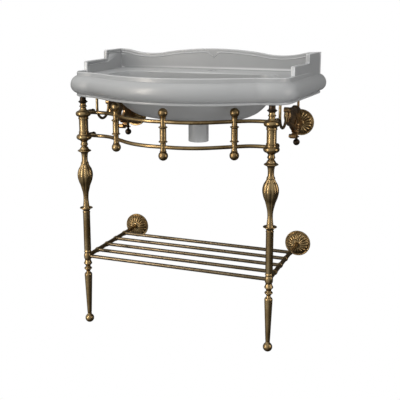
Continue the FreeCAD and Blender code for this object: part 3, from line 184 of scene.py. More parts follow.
# %% Metal materials
def patinated(name, bath, cloud, rubbed_and_highlight, crease, roughness, grain_mm):
    material, tree = new_material(name)
    edges = add(tree, "ShaderNodeNewGeometry").outputs["Pointiness"]
    clouds = span(tree, speckle(tree, 40, detail=2.0), 0.35, 0.7)
    colour = mixed(tree, clouds, linear(bath), linear(cloud))
    # rims and crests take the rubbed colour: real wear on the brass, and on the cast brackets
    # partly a painted highlight
    bright = span(tree, edges, 0.52, 0.62)
    colour = mixed(tree, bright, colour, linear(rubbed_and_highlight))
    # creases take the crease colour: patina, and on the cast brackets partly painted shade
    sunk = span(tree, edges, 0.48, 0.38)
    colour = mixed(tree, sunk, colour, linear(crease))
    low, high = roughness
    grain = speckle(tree, grain_mm, detail=5.0, roughness=0.65)
    bump = add(tree, "ShaderNodeBump", {
        "Height": grain, "Strength": 0.02, "Distance": 0.2 * MM,
    })
    shader = add(tree, "ShaderNodeBsdfPrincipled", {
        "Base Color": colour, "Metallic": 1.0, "Roughness": span(tree, grain, 0.3, 0.7, low, high),
        "Normal": bump.outputs["Normal"],
    })
    add(tree, "ShaderNodeOutputMaterial", {"Surface": shader.outputs["BSDF"]})
    return material


brass = patinated("antique_brass_rubbed", "#A08A64", "#866F4B", "#CDBC98", "#40311F",
                  (0.25, 0.33), 3.0)
bronze = patinated("dark_bronzed_brass", "#40362C", "#31281F", "#7D6C52", "#120F0B",
                   (0.28, 0.40), 3.0)
steel = patinated("zinc_plated_steel", "#A9ABAE", "#94979B", "#C8CACC", "#5A5C60",
                  (0.35, 0.5), 2.0)
# the rods' brass: a darker, browner copy of the brass, its darkening painted shade
drawn = patinated("drawn_brass_painted_shade", "#746753", "#635744", "#A3957C", "#3A3024",
                  (0.30, 0.38), 3.0)
# the brackets' brass: coppery, its paler crests partly a painted highlight and its darker creases
# partly painted shade
cast = patinated("cast_brass_coppery_painted_light_and_shade", "#A38660", "#8A6A48", "#DCC498", "#24150B",
                 (0.24, 0.34), 3.0)
FINISH = {"ceramic": ceramic, "brass": brass, "bronze": bronze, "steel": steel}
print("metals:", brass.name, bronze.name, steel.name)

# %% [markdown]
# ## Handing a piece over
# Every new piece takes the place of a CAD node: it rides on the same body, wears the finish
# of the node's material slot unless it is given another, and the node is hidden. Its faces
# are shaded smooth, but for the edges that turn by more than a set angle.

# %% Make a piece from corners and faces
SLOTS = {row["node"]: row["material_slot"] for row in frame["record"]["subparts"]}
MERGE_MM = 0.002
BODIES = {}
for body_name, members in frame["record"]["behaviour"]["bodies"].items():
    for member in members:
        BODIES[member] = body_name


def shown(name, data):
    """New object in the scene."""
    thing = bpy.data.objects.new(name, data)
    bpy.context.scene.collection.objects.link(thing)
    return thing


def frozen(thing):
    """Plain mesh of an object with its modifiers applied; the object itself goes."""
    bpy.context.view_layer.update()
    ready = thing.evaluated_get(bpy.context.evaluated_depsgraph_get())
    mesh = bpy.data.meshes.new_from_object(ready)
    bpy.data.objects.remove(thing)
    return mesh


def merged(mesh, gap_mm, outwards=True):
    """Merge the points that lie closer than the gap, and turn the faces outwards."""
    shape = bmesh.new()
    shape.from_mesh(mesh)
    bmesh.ops.remove_doubles(shape, verts=shape.verts, dist=gap_mm * MM)
    if outwards:
        bmesh.ops.recalc_face_normals(shape, faces=shape.faces)
    shape.to_mesh(mesh)
    shape.free()


def place_mesh(name, mesh, nodes, sharp=40.0, finish=None):
    """Turn a mesh into the piece that stands for these CAD nodes."""
    slot = SLOTS[nodes[0]]
    piece = shown(name, mesh)
    mesh.materials.clear()
    mesh.materials.append(finish or FINISH[slot])
    mesh.shade_smooth()
    mesh.set_sharp_from_angle(angle=math.radians(sharp))
    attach(piece, BODIES[nodes[0]])
    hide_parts(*nodes)
    return piece


def mesh_from(name, points_mm, faces):
    """Closed mesh from points in millimetres, with its faces turned outwards."""
    mesh = bpy.data.meshes.new(name)
    mesh.from_pydata([tuple(c * MM for c in p) for p in points_mm], [], faces)
    merged(mesh, MERGE_MM)
    mesh.validate()
    return mesh


print("nodes to dress:", len(SLOTS))

# %% [markdown]
# ## Turning on a lathe
# Most brass pieces are turned, so half of the outline says everything. A profile is a list
# of (radius, height) corners. A third number makes the stretch that follows an arc, and
# says how far it swells off its chord: outwards when positive, hollow when negative. Real
# edges are never knife sharp, so each corner is eased with a tiny round that catches light.

# %% Profiles and the lathe
ROUND_STEPS = 6
EASE_MM = 0.45
LATHE_STEPS = 64


def bowed(start, end, rise, steps=ROUND_STEPS):
    """Points of an arc from start towards end, without the end point."""
    (ax, ay), (bx, by) = start, end
    chord = math.hypot(bx - ax, by - ay)
    if abs(rise) < 1e-6 or chord < 1e-6:
        return [start]
    radius = (chord * chord / 4 + rise * rise) / (2 * abs(rise))
    side = math.copysign(1.0, rise)
    nx, ny = (by - ay) / chord * side, -(bx - ax) / chord * side
    back = radius - abs(rise)
    cx, cy = (ax + bx) / 2 - nx * back, (ay + by) / 2 - ny * back
    first = math.atan2(ay - cy, ax - cx)
    sweep = math.atan2(by - cy, bx - cx) - first
    sweep = (sweep + math.pi) % (2 * math.pi) - math.pi
    if abs(rise) > radius:
        sweep -= math.copysign(2 * math.pi, sweep)
    turns = [first + sweep * i / steps for i in range(steps)]
    return [(cx + radius * math.cos(t), cy + radius * math.sin(t)) for t in turns]


def outline(corners, closed=False, steps=ROUND_STEPS):
    points = []
    count = len(corners) if closed else len(corners) - 1
    for index in range(count):
        corner, following = corners[index], corners[(index + 1) % len(corners)]
        rise = corner[2] if len(corner) > 2 else 0.0
        points += bowed(corner[:2], following[:2], rise, steps)
    if not closed:
        points.append(corners[-1][:2])
    return points


def eased(points, ease=EASE_MM):
    """Replace each sharp corner of an open outline with a small round."""
    soft = [points[0]]
    for before, corner, after in zip(points, points[1:], points[2:]):
        a, b, c = (Vector(p) for p in (before, corner, after))
        into, out = b - a, c - b
        if min(into.length, out.length) < 1e-4 or into.angle(out) < math.radians(22):
            soft.append(corner)
            continue
        reach = min(ease, 0.4 * into.length, 0.4 * out.length)
        start, end = b - into.normalized() * reach, b + out.normalized() * reach
        for share in (0.0, 0.33, 0.67, 1.0):
            curve = start.lerp(b, share).lerp(b.lerp(end, share), share)
            soft.append((curve.x, curve.y))
    soft.append(points[-1])
    return soft


def lathe(profile, steps=LATHE_STEPS):
    """Points and faces of a profile spun about its own axis; its ends close on the axis."""
    rings = eased(outline(profile))
    rings = [(max(radius, 0.0), height) for radius, height in rings]
    points, faces, rows = [], [], []
    for radius, height in rings:
        if radius < 1e-4:
            rows.append([len(points)] * steps)
            points.append((0.0, 0.0, height))
            continue
        rows.append(list(range(len(points), len(points) + steps)))
        for step in range(steps):
            turn = 2 * math.pi * step / steps
            points.append((radius * math.cos(turn), radius * math.sin(turn), height))
    for lower, upper in zip(rows, rows[1:]):
        for step in range(steps):
            after = (step + 1) % steps
            face = [lower[step], lower[after], upper[after], upper[step]]
            face = list(dict.fromkeys(face))
            if len(face) > 2:
                faces.append(face)
    return points, faces


def laid(points, way, at):
    """Stand a turned piece up, or lay its axis towards or away from the wall."""
    turn = {
        "up": lambda p: p,
        "down": lambda p: (p[0], -p[1], -p[2]),
        "to_wall": lambda p: (p[0], p[2], -p[1]),
        "from_wall": lambda p: (p[0], -p[2], p[1]),
        "across": lambda p: (p[2], p[1], -p[0]),
    }[way]
    return [tuple(a + b for a, b in zip(turn(p), at)) for p in points]


def joined(*shells):
    points, faces = [], []
    for more_points, more_faces in shells:
        base = len(points)
        points += more_points
        faces += [[base + i for i in face] for face in more_faces]
    return points, faces


def turned(name, nodes, *spun, finish=None):
    """A piece of one or more lathe profiles; each comes as (profile, way, place)."""
    shells = []
    for profile, way, at in spun:
        points, faces = lathe(profile)
        shells.append((laid(points, way, at), faces))
    return place_mesh(name, mesh_from(name, *joined(*shells)), nodes, finish=finish)


print("arc test:", bowed((1, 0), (0, 1), 0.29, 2))

# %% [markdown]
# ## The legs
# A leg is a stack of turned pieces on one hidden rod. Each profile starts at the foot of
# its piece, and the CAD node's box says how high that foot is. The places of both legs come
# from the ball feet, whose stud shows when the foot is screwed out to level the basin.

# %% Turned pieces of a leg
def low_corner(node):
    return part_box(node)[0] / MM


def high_corner(node):
    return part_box(node)[1] / MM


def middle_of(node):
    return (low_corner(node) + high_corner(node)) / 2


LEG_PROFILES = {
    "ball_foot": [(0, 0.02), (3.8, 0.02, 3.12), (15, 14.5, 2.07), (7.25, 27.6), (7.25, 34),
                  (4, 34), (4, 57), (3, 58), (0, 58)],
    "tapered_leg": [(0, 0), (6.6, 0), (7.5, 1.2), (13, 137, 1.6), (7.5, 145.5), (6.5, 150),
                    (0, 150)],
    "lower_knop": [(0, 0), (6.5, 0, -0.6), (12, 8, 1.2), (12, 12.4), (8.5, 15.2, -0.5),
                   (8.5, 20, -0.4), (12.2, 25.2, 1.8), (12.2, 32), (10, 40), (0, 40)],
    "shelf_hub": [(0, 0), (10, 0, -0.6), (12, 4.3, 1.0), (12, 23), (10, 25.2),
                  (11.5, 27.4, 1.0), (11.5, 32.4), (10.75, 33.5), (10.75, 36), (0, 36)],
    "lower_tube": [(0, 0), (11.75, 0), (11.75, 131), (12.6, 131.4), (12.6, 133.8),
                   (10.5, 134.2), (10.5, 137), (0, 137)],
    "saucer": [(0, 0), (10.6, 0), (12.8, 2.1), (13.8, 5, -0.9), (21.5, 9.2), (21, 11.2, -1.2),
               (12, 9.8), (11, 14), (0, 14)],
    "spindle": [(0, 0), (12.6, 0, 0.8), (12.6, 4.5), (10.2, 9, -0.8), (10.8, 33.1, -0.6),
                (14, 39.9), (19.5, 42.2), (22.5, 44.4), (20.5, 46.7, -0.8), (14, 52, 0.8),
                (9.2, 58.7, -0.4), (11.3, 63.3, 1.2), (11.3, 68.5, -0.4), (10.2, 75.3),
                (0, 75.3)],
    "column": [(0, 0), (16.5, 0, 0.5), (16.5, 3), (15, 3.4), (15, 44.1), (16.5, 44.5, 0.5),
               (16.5, 47.5), (0, 47.5)],
    "leg_neck": [(0, 0), (11, 0, -0.5), (9.5, 5.7), (11.2, 7.2, 1.3), (11.2, 11.4),
                 (9.5, 12.9), (9.5, 19), (0, 19)],
    "leg_cap": [(0, 0), (10, 0, -0.4), (14.5, 3.8, 0.8), (14.5, 6.8, -1.2), (10, 12.8),
                (10, 20), (0, 20)],
}
SIDES = {"left": -1, "right": 1}
AXIS = {}
for word in SIDES:
    AXIS[word] = tuple(middle_of(f"ball_foot_{word}"))[:2]
    for kind, profile in LEG_PROFILES.items():
        node = f"{kind}_{word}"
        foot = (*AXIS[word], low_corner(node).z)
        turned(f"{node}_turned", [node], (profile, "up", foot))
print("leg axes, mm:", {word: [round(c, 1) for c in at] for word, at in AXIS.items()})

# %% [markdown]
# ## The collars and their knobs
# Two fat collars clamp each leg's drum. Behind each sits a boss that takes the end of a
# towel rail, held by a dark round-headed screw. Boss and collar are one casting, so both
# profiles go into one piece.

# %% Collars, bosses and knobs
BOSS_START, BOSS_END, BOSS_RADIUS = 10.0, 50.0, 9.0
COLLAR_MIDDLE = 15.0
COLLARS = {
    "lower": [(0, 0), (10.2, 0, -0.5), (17, 6, 8), (17, 24, -0.5), (16.5, 30), (0, 30)],
    "upper": [(0, 0), (16.5, 0, -0.5), (17, 6, 8), (17, 24, -0.5), (11, 30), (0, 30)],
}
BOSS = [(0, BOSS_START), (BOSS_RADIUS, BOSS_START), (BOSS_RADIUS, BOSS_END - 1, 0.2),
        (BOSS_RADIUS - 1, BOSS_END), (0, BOSS_END)]
KNOB = [(0, 0), (4.9, 0), (4.9, 4.8, -0.6), (6.5, 7.9, 2.0), (6.5, 20, 1.1), (0, 24)]
for word in SIDES:
    x, y = AXIS[word]
    knobs = []
    for level_word, profile in COLLARS.items():
        node = f"{level_word}_collar_{word}"
        foot = low_corner(node).z
        middle = foot + COLLAR_MIDDLE
        turned(f"{node}_turned", [node], (profile, "up", (x, y, foot)),
               (BOSS, "to_wall", (x, y, middle)))
        knobs.append((KNOB, "to_wall", (x, y + BOSS_END, middle)))
    turned(f"rail_knobs_{word}_turned", [f"rail_knobs_{word}"], *knobs)
print("collars and knobs made for both legs")

# %% [markdown]
# ## The lobed vases
# The swelling vase of each leg is cast with eight soft lobes. Its shape follows a rule:
# a radius for each height, less a crease between lobes. Geometry Nodes suit that: a plain
# cylinder is bent to the rule, and the lobes and sizes stay inputs that can be changed.

# %% Geometry Nodes helpers
def new_tree(name, inputs):
    """Empty tree with named inputs; returns it with its group input node."""
    tree = bpy.data.node_groups.new(name, "GeometryNodeTree")
    tree.interface.new_socket("Geometry", in_out="INPUT", socket_type="NodeSocketGeometry")
    for label, kind in inputs.items():
        tree.interface.new_socket(label, in_out="INPUT", socket_type=f"NodeSocket{kind}")
    tree.interface.new_socket("Geometry", in_out="OUTPUT", socket_type="NodeSocketGeometry")
    return tree, tree.nodes.new("NodeGroupInput")


def close_tree(tree, geometry, material):
    """Every tree ends alike: real geometry, then its material."""
    real = add(tree, "GeometryNodeRealizeInstances", {"Geometry": geometry})
    coated = add(tree, "GeometryNodeSetMaterial", {
        "Geometry": real.outputs["Geometry"], "Material": material,
    })
    add(tree, "NodeGroupOutput", {"Geometry": coated.outputs["Geometry"]})


def grown(name, tree, values, source=None):
    """Plain mesh that the tree makes from a source mesh or curve."""
    seed = shown(f"{name}_seed", source or bpy.data.meshes.new(f"{name}_seed"))
    modifier = seed.modifiers.new(name, "NODES")
    modifier.node_group = tree
    for item in tree.interface.items_tree:
        if item.in_out == "INPUT" and item.name in values:
            modifier[item.identifier] = values[item.name]
    mesh = frozen(seed)
    mesh.name = name
    return mesh


def moved(mesh, at):
    mesh.transform(Matrix.Translation(Vector(at) * MM))
    return mesh


print("trees so far:", len(bpy.data.node_groups))

# %% The vase's tree
VASE_SHAPE = [(0.0, 0.42), (0.06, 0.385), (0.23, 0.337), (0.46, 0.568), (0.66, 0.934),
              (0.75, 1.0), (0.86, 0.894), (0.95, 0.63), (1.0, 0.50)]
CREASE_SHAPE = [(0.0, 0.1), (0.23, 0.3), (0.46, 0.7), (0.72, 1.0), (0.88, 0.9), (1.0, 0.3)]


def curve_of(tree, value, corners):
    node = add(tree, "ShaderNodeFloatCurve", {"Value": value})
    curve = node.mapping.curves[0]
    curve.points[0].location, curve.points[1].location = corners[0], corners[-1]
    for corner in corners[1:-1]:
        curve.points.new(*corner)
    node.mapping.update()
    return node.outputs["Value"]


def maths(tree, operation, first, second=0.0):
    node = add(tree, "ShaderNodeMath", operation=operation)
    for socket, value in zip(node.inputs, (first, second)):
        if isinstance(value, bpy.types.NodeSocket):
            tree.links.new(value, socket)
        else:
            socket.default_value = value
    return node.outputs[0]


def vase_tree():
    tree, given = new_tree("lobed_vase", {
        "Height": "Float", "Belly radius": "Float", "Lobes": "Float", "Crease": "Float",
        "Material": "Material",
    })
    drum = add(tree, "GeometryNodeMeshCylinder", {
        "Vertices": 160, "Side Segments": 72, "Radius": 1.0, "Depth": 1.0,
    }, fill_type="NGON")
    spot = add(tree, "GeometryNodeInputPosition").outputs["Position"]
    apart = add(tree, "ShaderNodeSeparateXYZ", {"Vector": spot})
    share = maths(tree, "ADD", apart.outputs["Z"], 0.5)
    turn = maths(tree, "ARCTAN2", apart.outputs["Y"], apart.outputs["X"])
    half_lobe = maths(tree, "MULTIPLY", given.outputs["Lobes"], 0.5)
    wave = maths(tree, "COSINE", maths(tree, "MULTIPLY", turn, half_lobe))
    dip = maths(tree, "SUBTRACT", 1.0, maths(tree, "ABSOLUTE", wave))
    depth = maths(tree, "MULTIPLY", given.outputs["Crease"],
                  curve_of(tree, share, CREASE_SHAPE))
    radius = maths(tree, "SUBTRACT",
                   maths(tree, "MULTIPLY", given.outputs["Belly radius"],
                         curve_of(tree, share, VASE_SHAPE)),
                   maths(tree, "MULTIPLY", depth, dip))
    there = add(tree, "ShaderNodeCombineXYZ", {
        "X": maths(tree, "MULTIPLY", radius, maths(tree, "COSINE", turn)),
        "Y": maths(tree, "MULTIPLY", radius, maths(tree, "SINE", turn)),
        "Z": maths(tree, "MULTIPLY", share, given.outputs["Height"]),
    })
    bent = add(tree, "GeometryNodeSetPosition", {
        "Geometry": drum.outputs["Mesh"], "Position": there.outputs["Vector"],
    })
    close_tree(tree, bent.outputs["Geometry"], given.outputs["Material"])
    return tree


LOBES, CREASE_MM = 8.0, 2.4
lobed = vase_tree()
for word in SIDES:
    node = f"vase_{word}"
    low, high = low_corner(node), high_corner(node)
    mesh = grown(f"{node}_lobed", lobed, {
        "Height": (high.z - low.z) * MM, "Belly radius": (high.x - low.x) / 2 * MM,
        "Lobes": LOBES, "Crease": CREASE_MM * MM, "Material": brass,
    })
    place_mesh(f"{node}_lobed", moved(mesh, (*AXIS[word], low.z)), [node], sharp=50)
print("vase:", round(high.z - low.z, 1), "mm tall,", len(mesh.polygons), "faces")

# %% [markdown]
# ## Rails, tendrils and shelf rods
# A bent rod is a circle carried along a line, so one small tree makes all of them. The
# towel rails are set back at the legs and bow out in the middle, in four arcs that meet
# in straight runs. The tendrils hang from the basin and loop under to the brackets.

# %% The rod's tree
def rod_tree():
    tree, given = new_tree("bent_rod", {
        "Radius": "Float", "Material": "Material",
    })
    ring = add(tree, "GeometryNodeCurvePrimitiveCircle", {
        "Resolution": 32, "Radius": given.outputs["Radius"],
    }, mode="RADIUS")
    rod = add(tree, "GeometryNodeCurveToMesh", {
        "Curve": given.outputs["Geometry"], "Profile Curve": ring.outputs["Curve"],
        "Fill Caps": True,
    })
    close_tree(tree, rod.outputs["Mesh"], given.outputs["Material"])
    return tree


bent_rod = rod_tree()


def rod_along(name, route, radius, node):
    line = bpy.data.curves.new(f"{name}_line", "CURVE")
    line.dimensions = "3D"
    spline = line.splines.new("POLY")
    spline.points.add(len(route) - 1)
    for point, spot in zip(spline.points, route):
        point.co = (*(c * MM for c in spot), 1.0)
    mesh = grown(name, bent_rod, {"Radius": radius * MM, "Material": FINISH[SLOTS[node]]},
                 line)
    merged(mesh, MERGE_MM)
    return place_mesh(name, mesh, [node], sharp=50)


BAY = math.radians(37)
SETBACK, BOW = 36.0, 79.0
END_RADIUS, BOW_RADIUS = 90.0, 205.0
PEG_X, PEG_Y = 201.0, 2.0
RAIL_TIP, RAIL_RADIUS = 317.0, 6.0


def rail_route(y_legs, level):
    """Half of the rail from its middle to its end, mirrored for the other half."""
    end_corner = PEG_X + (SETBACK - PEG_Y) / math.tan(BAY)
    bow_corner = PEG_X - (PEG_Y + BOW) / math.tan(BAY)
    end_reach, bow_reach = (r * math.tan(BAY / 2) for r in (END_RADIUS, BOW_RADIUS))
    cosine, sine = math.cos(BAY), math.sin(BAY)
    corners = [
        (0, -BOW),
        (bow_corner - bow_reach, -BOW, BOW_RADIUS * (1 - math.cos(BAY / 2))),
        (bow_corner + bow_reach * cosine, bow_reach * sine - BOW),
        (end_corner - end_reach * cosine, SETBACK - end_reach * sine,
         -END_RADIUS * (1 - math.cos(BAY / 2))),
        (end_corner + end_reach, SETBACK),
        (RAIL_TIP, SETBACK),
    ]
    half = outline(corners, steps=16)
    whole = [(-x, y) for x, y in reversed(half[1:])] + half
    return [(x, y + y_legs, level) for x, y in whole]


legs_y = AXIS["right"][1]
for level_word in ("lower", "upper"):
    node = f"{level_word}_rail"
    rod_along(f"{node}_bent", rail_route(legs_y, middle_of(node).z), RAIL_RADIUS, node)
print("rails at", round(low_corner("lower_rail").z), "and", round(low_corner("upper_rail").z))

# %% Tendrils and shelf rods
TENDRIL_RADIUS, TENDRIL_REACH = 4.5, 36.0
BEND_STEPS = 24
for word in SIDES:
    node = f"tendril_{word}"
    low, high = low_corner(node), high_corner(node)
    x = middle_of(node).x
    front, back = low.y + TENDRIL_RADIUS, high.y - TENDRIL_RADIUS
    bend = (back - front) / 2
    middle, turn_z = (front + back) / 2, low.z + TENDRIL_RADIUS + bend
    route = [(x, front, high.z)]
    for step in range(BEND_STEPS + 1):
        turn = math.pi * (1 + step / BEND_STEPS)
        route.append((x, middle + bend * math.cos(turn), turn_z + bend * math.sin(turn)))
    bracket_top = high_corner(f"bracket_{word}").z
    route.append((x, back, bracket_top - TENDRIL_REACH))
    rod_along(f"{node}_bent", route, TENDRIL_RADIUS, node)

ROD_COUNT, ROD_PROFILE_EASE = 5, 0.5
for number in range(1, ROD_COUNT + 1):
    node = f"shelf_rod_{number}"
    low, high = low_corner(node), high_corner(node)
    reach, radius = high.x - low.x, (high.z - low.z) / 2
    profile = [(0, 0), (radius - ROD_PROFILE_EASE, 0), (radius, ROD_PROFILE_EASE),
               (radius, reach - ROD_PROFILE_EASE), (radius - ROD_PROFILE_EASE, reach),
               (0, reach)]
    turned(f"{node}_drawn", [node],
           (profile, "across", (low.x, *middle_of(node)[1:])),
           finish=drawn)
print("tendrils bend at", round(bend, 1), "mm; rods are", round(reach), "mm long")

# %% [markdown]
# ## Pegs and shelf arms
# Three turned pegs tie the rails together. Each has a ball at both ends and a thicker grip
# between two thin rings. The shelf arms run from the leg to the wall, with a sleeve where
# each rod crosses.

# %% Pegs
PEG_REACH, BALL_RADIUS, BALL_CENTRE = 53.8, 15.0, 66.0
HALF_STEM = [(10.2, 0), (10.2, 18.6, -0.3), (12.6, 20.4, 1.3), (12.6, 24), (8.8, 25.2, -0.2),
             (8.8, PEG_REACH - 4, -0.2), (10.4, PEG_REACH - 2.6, 0.6),
             (10.4, PEG_REACH - 0.8), (7.4, PEG_REACH), (0, PEG_REACH)]
PEG_BALL = [(0, -BALL_RADIUS, BALL_RADIUS * (1 - math.sqrt(0.5))),
            (BALL_RADIUS, 0, BALL_RADIUS * (1 - math.sqrt(0.5))), (0, BALL_RADIUS)]
for word in ("left", "middle", "right"):
    node = f"peg_balls_{word}"
    at = tuple(middle_of(node))
    lower_half = [(r, -z) for r, z in reversed([c[:2] for c in outline(HALF_STEM)])]
    stem = lower_half + outline(HALF_STEM)[1:]
    turned(f"peg_stem_{word}_turned", [f"peg_stem_{word}"], (stem, "up", at))
    turned(f"{node}_turned", [node],
           (PEG_BALL, "up", (at[0], at[1], at[2] + BALL_CENTRE)),
           (PEG_BALL, "down", (at[0], at[1], at[2] - BALL_CENTRE)))
print("pegs at x, mm:", [round(middle_of(f"peg_balls_{word}").x) for word in SIDES])

# %% Shelf arms
ROD_PITCH, SLEEVE_HALF, ARM_SEAT = 69.3, 5.5, 7.0
ARM_RADIUS, SLEEVE_RADIUS, SLEEVE_SLOPE = 7.25, 9.0, 1.2
for word in SIDES:
    node = f"shelf_arm_{word}"
    low, high = low_corner(node), high_corner(node)
    length = high.y - low.y
    profile = [(0, 0), (ARM_RADIUS, 0)]
    for number in range(1, ROD_COUNT):
        stop = ROD_PITCH * number - ARM_SEAT
        profile += [(ARM_RADIUS, stop - SLEEVE_HALF - SLEEVE_SLOPE),
                    (SLEEVE_RADIUS - 0.4, stop - SLEEVE_HALF, 0.7),
                    (SLEEVE_RADIUS - 0.4, stop + SLEEVE_HALF),
                    (ARM_RADIUS, stop + SLEEVE_HALF + SLEEVE_SLOPE)]
    profile += [(ARM_RADIUS, length), (0, length)]
    at = (AXIS[word][0], low.y, middle_of(node).z)
    turned(f"{node}_turned", [node], (profile, "to_wall", at))
print("shelf arms are", round(length), "mm long")

# %% [markdown]
# ## The wall roses
# Each rose is a stamped dome that hides the screwed flange. Leaves run from a plain collar
# out to a plain rim, side by side like the ribs of a shell. One leaf is modelled on the
# dome's own curve, and Geometry Nodes set the ring of them round the axis.

# %% The rose's leaf and tree
LEAF_COUNT = 18
LEAF_SWELL, MIDRIB_DEPTH, LEAF_BACK = 2.9, 0.5, 1.4
DOME = [(39.0, 5.2), (36.0, 8.8), (31.0, 12.4), (25.0, 15.2), (19.0, 17.2), (13.6, 18.6)]


def dome_at(share):
    """Radius and height on the dome: share 0 at the rim and 1 at the collar."""
    spot = share * (len(DOME) - 1)
    first = min(int(spot), len(DOME) - 2)
    part = spot - first
    return [a + (b - a) * part for a, b in zip(DOME[first], DOME[first + 1])]


def leaf_mesh():
    """One leaf, from rim to collar: full and round at the rim, with a groove each side."""
    rows, columns = 18, 12
    points, faces = [], []
    for layer in (1, -1):
        for i in range(rows + 1):
            share = i / rows
            radius, height = dome_at(share)
            fullness = math.sin(math.pi * min(1.0, share * 0.82 + 0.14)) ** 0.7
            for j in range(columns + 1):
                across = 2 * j / columns - 1
                turn = across * math.pi / LEAF_COUNT
                tip = 1.0 if share > 0.1 else math.sqrt(max(0.0, 1 - (1 - share / 0.1) ** 2))
                crest = (1 - abs(across) ** 2.6) * LEAF_SWELL * fullness * tip
                crest -= MIDRIB_DEPTH * math.exp(-(across / 0.13) ** 2) * fullness * tip
                up = crest if layer > 0 else -LEAF_BACK
                points.append((radius * math.cos(turn) + 0.35 * up,
                               radius * math.sin(turn), height + 0.9 * up))
    width = columns + 1
    base = (rows + 1) * width
    for i in range(rows):
        for j in range(columns):
            a = i * width + j
            faces.append([a, a + 1, a + width + 1, a + width])
            faces.append([base + a, base + a + width, base + a + width + 1, base + a + 1])
    rim_loop = list(range(width))
    rim_loop += [i * width + columns for i in range(1, rows + 1)]
    rim_loop += [rows * width + j for j in range(columns - 1, -1, -1)]
    rim_loop += [i * width for i in range(rows - 1, 0, -1)]
    for a, b in zip(rim_loop, rim_loop[1:] + rim_loop[:1]):
        faces.append([a, base + a, base + b, b])
    return mesh_from("rose_leaf", points, faces)


def rose_tree():
    tree, given = new_tree("ring_of_leaves", {
        "Leaf": "Object", "Leaves": "Int", "Material": "Material",
    })
    spots = add(tree, "GeometryNodeMeshLine", {
        "Count": given.outputs["Leaves"], "Offset": (0.0, 0.0, 0.0),
    })
    step = maths(tree, "DIVIDE", 2 * math.pi, given.outputs["Leaves"])
    turn = maths(tree, "MULTIPLY", add(tree, "GeometryNodeInputIndex").outputs[0], step)
    angles = add(tree, "ShaderNodeCombineXYZ", {"Z": turn})
    spin = add(tree, "FunctionNodeEulerToRotation", {"Euler": angles.outputs["Vector"]})
    leaf = add(tree, "GeometryNodeObjectInfo", {"Object": given.outputs["Leaf"]})
    ring = add(tree, "GeometryNodeInstanceOnPoints", {
        "Points": spots.outputs["Mesh"], "Instance": leaf.outputs["Geometry"],
        "Rotation": spin.outputs["Rotation"],
    })
    both = add(tree, "GeometryNodeJoinGeometry", {"Geometry": given.outputs["Geometry"]})
    tree.links.new(ring.outputs["Instances"], both.inputs["Geometry"])
    close_tree(tree, both.outputs["Geometry"], given.outputs["Material"])
    return tree


leaf_object = shown("rose_leaf", leaf_mesh())
leaf_ring = rose_tree()
PLATE = [(42.5, 0), (45.5, 0), (45.5, 4, 0.4), (43.4, 5.4), (41, 4.6, -0.4), (39.4, 5.0),
         (36.0, 8.4), (31.0, 12.0), (25.0, 14.8), (19.0, 16.8), (13.6, 18.2), (13.2, 19.6),
         (11.4, 20.6, 0.3), (9.4, 21.0), (8.2, 20.4), (8.2, 16.0), (13, 15.0), (19, 13.8),
         (25, 11.8), (31, 9.0), (37, 4.6)]
print("one leaf has", len(leaf_object.data.polygons), "faces")

# %% Place the roses
def ring_lathe(profile, steps=96):
    """A closed profile spun about Z: a ring with a hole."""
    points, faces = [], []
    count = len(profile)
    for step in range(steps):
        turn = 2 * math.pi * step / steps
        points += [(r * math.cos(turn), r * math.sin(turn), z) for r, z in profile]
    for step in range(steps):
        here, there = step * count, ((step + 1) % steps) * count
        for i in range(count):
            after = (i + 1) % count
            faces.append([here + i, there + i, there + after, here + after])
    return points, faces


for level_word in ("upper", "lower"):
    for word in SIDES:
        node = f"{level_word}_rose_{word}"
        plate = mesh_from(f"{node}_plate", *ring_lathe(outline(PLATE, closed=True)))
        mesh = grown(f"{node}_leaves", leaf_ring, {
            "Leaf": leaf_object, "Leaves": LEAF_COUNT, "Material": brass,
        }, plate)
        spots = [tuple(v.co / MM) for v in mesh.vertices]
        centre = (middle_of(node).x, high_corner(node).y, middle_of(node).z)
        for vertex, spot in zip(mesh.vertices, laid(spots, "from_wall", centre)):
            vertex.co = Vector(spot) * MM
        place_mesh(f"{node}_leaves", mesh, [node], sharp=55)
bpy.data.objects.remove(leaf_object)
print("four roses,", LEAF_COUNT, "leaves each")

# %% [markdown]
# ## The scroll brackets
# The brackets are sand castings, so nothing on them is sharp and leaves are carved into
# both faces. A copy of the CAD casting is merged, remeshed to a fine even skin, and that
# skin is pushed in and out: ribs fan along the leaf and round the curl.

# %% Carve the brackets
SKIN_MM = 1.5
SMOOTHING = 6
RIB_DEPTH, RIB_COUNT = 3.0, 17.0
CURL_DEPTH, CURL_COUNT = 1.1, 16
# places are written as (distance out from the wall, height over the rose's axis)
FAN_CENTRE, CURL_CENTRE = (20.0, -34.0), (108.0, -12.0)
LEAF_FROM, LEAF_TO, LEAF_UNDER = 60.0, 226.0, -24
CURL_INNER, CURL_OUTER, CURL_TOP = 17, 31, -8
POST_OUT, POST_REACH, POST_FOOT = 51.0, 6.5, 42
PLAIN_TO = 30


def cast_skin(node):
    """Even skin over a merged copy of a CAD node."""
    copy = shown(f"{node}_copy", frame["nodes"][node].data.copy())
    merged(copy.data, 0.005, outwards=False)
    remesh = copy.modifiers.new("skin", "REMESH")
    remesh.mode = "VOXEL"
    remesh.voxel_size = SKIN_MM * MM
    smooth = copy.modifiers.new("soften", "SMOOTH")
    smooth.iterations = SMOOTHING
    smooth.factor = 0.5
    return frozen(copy)


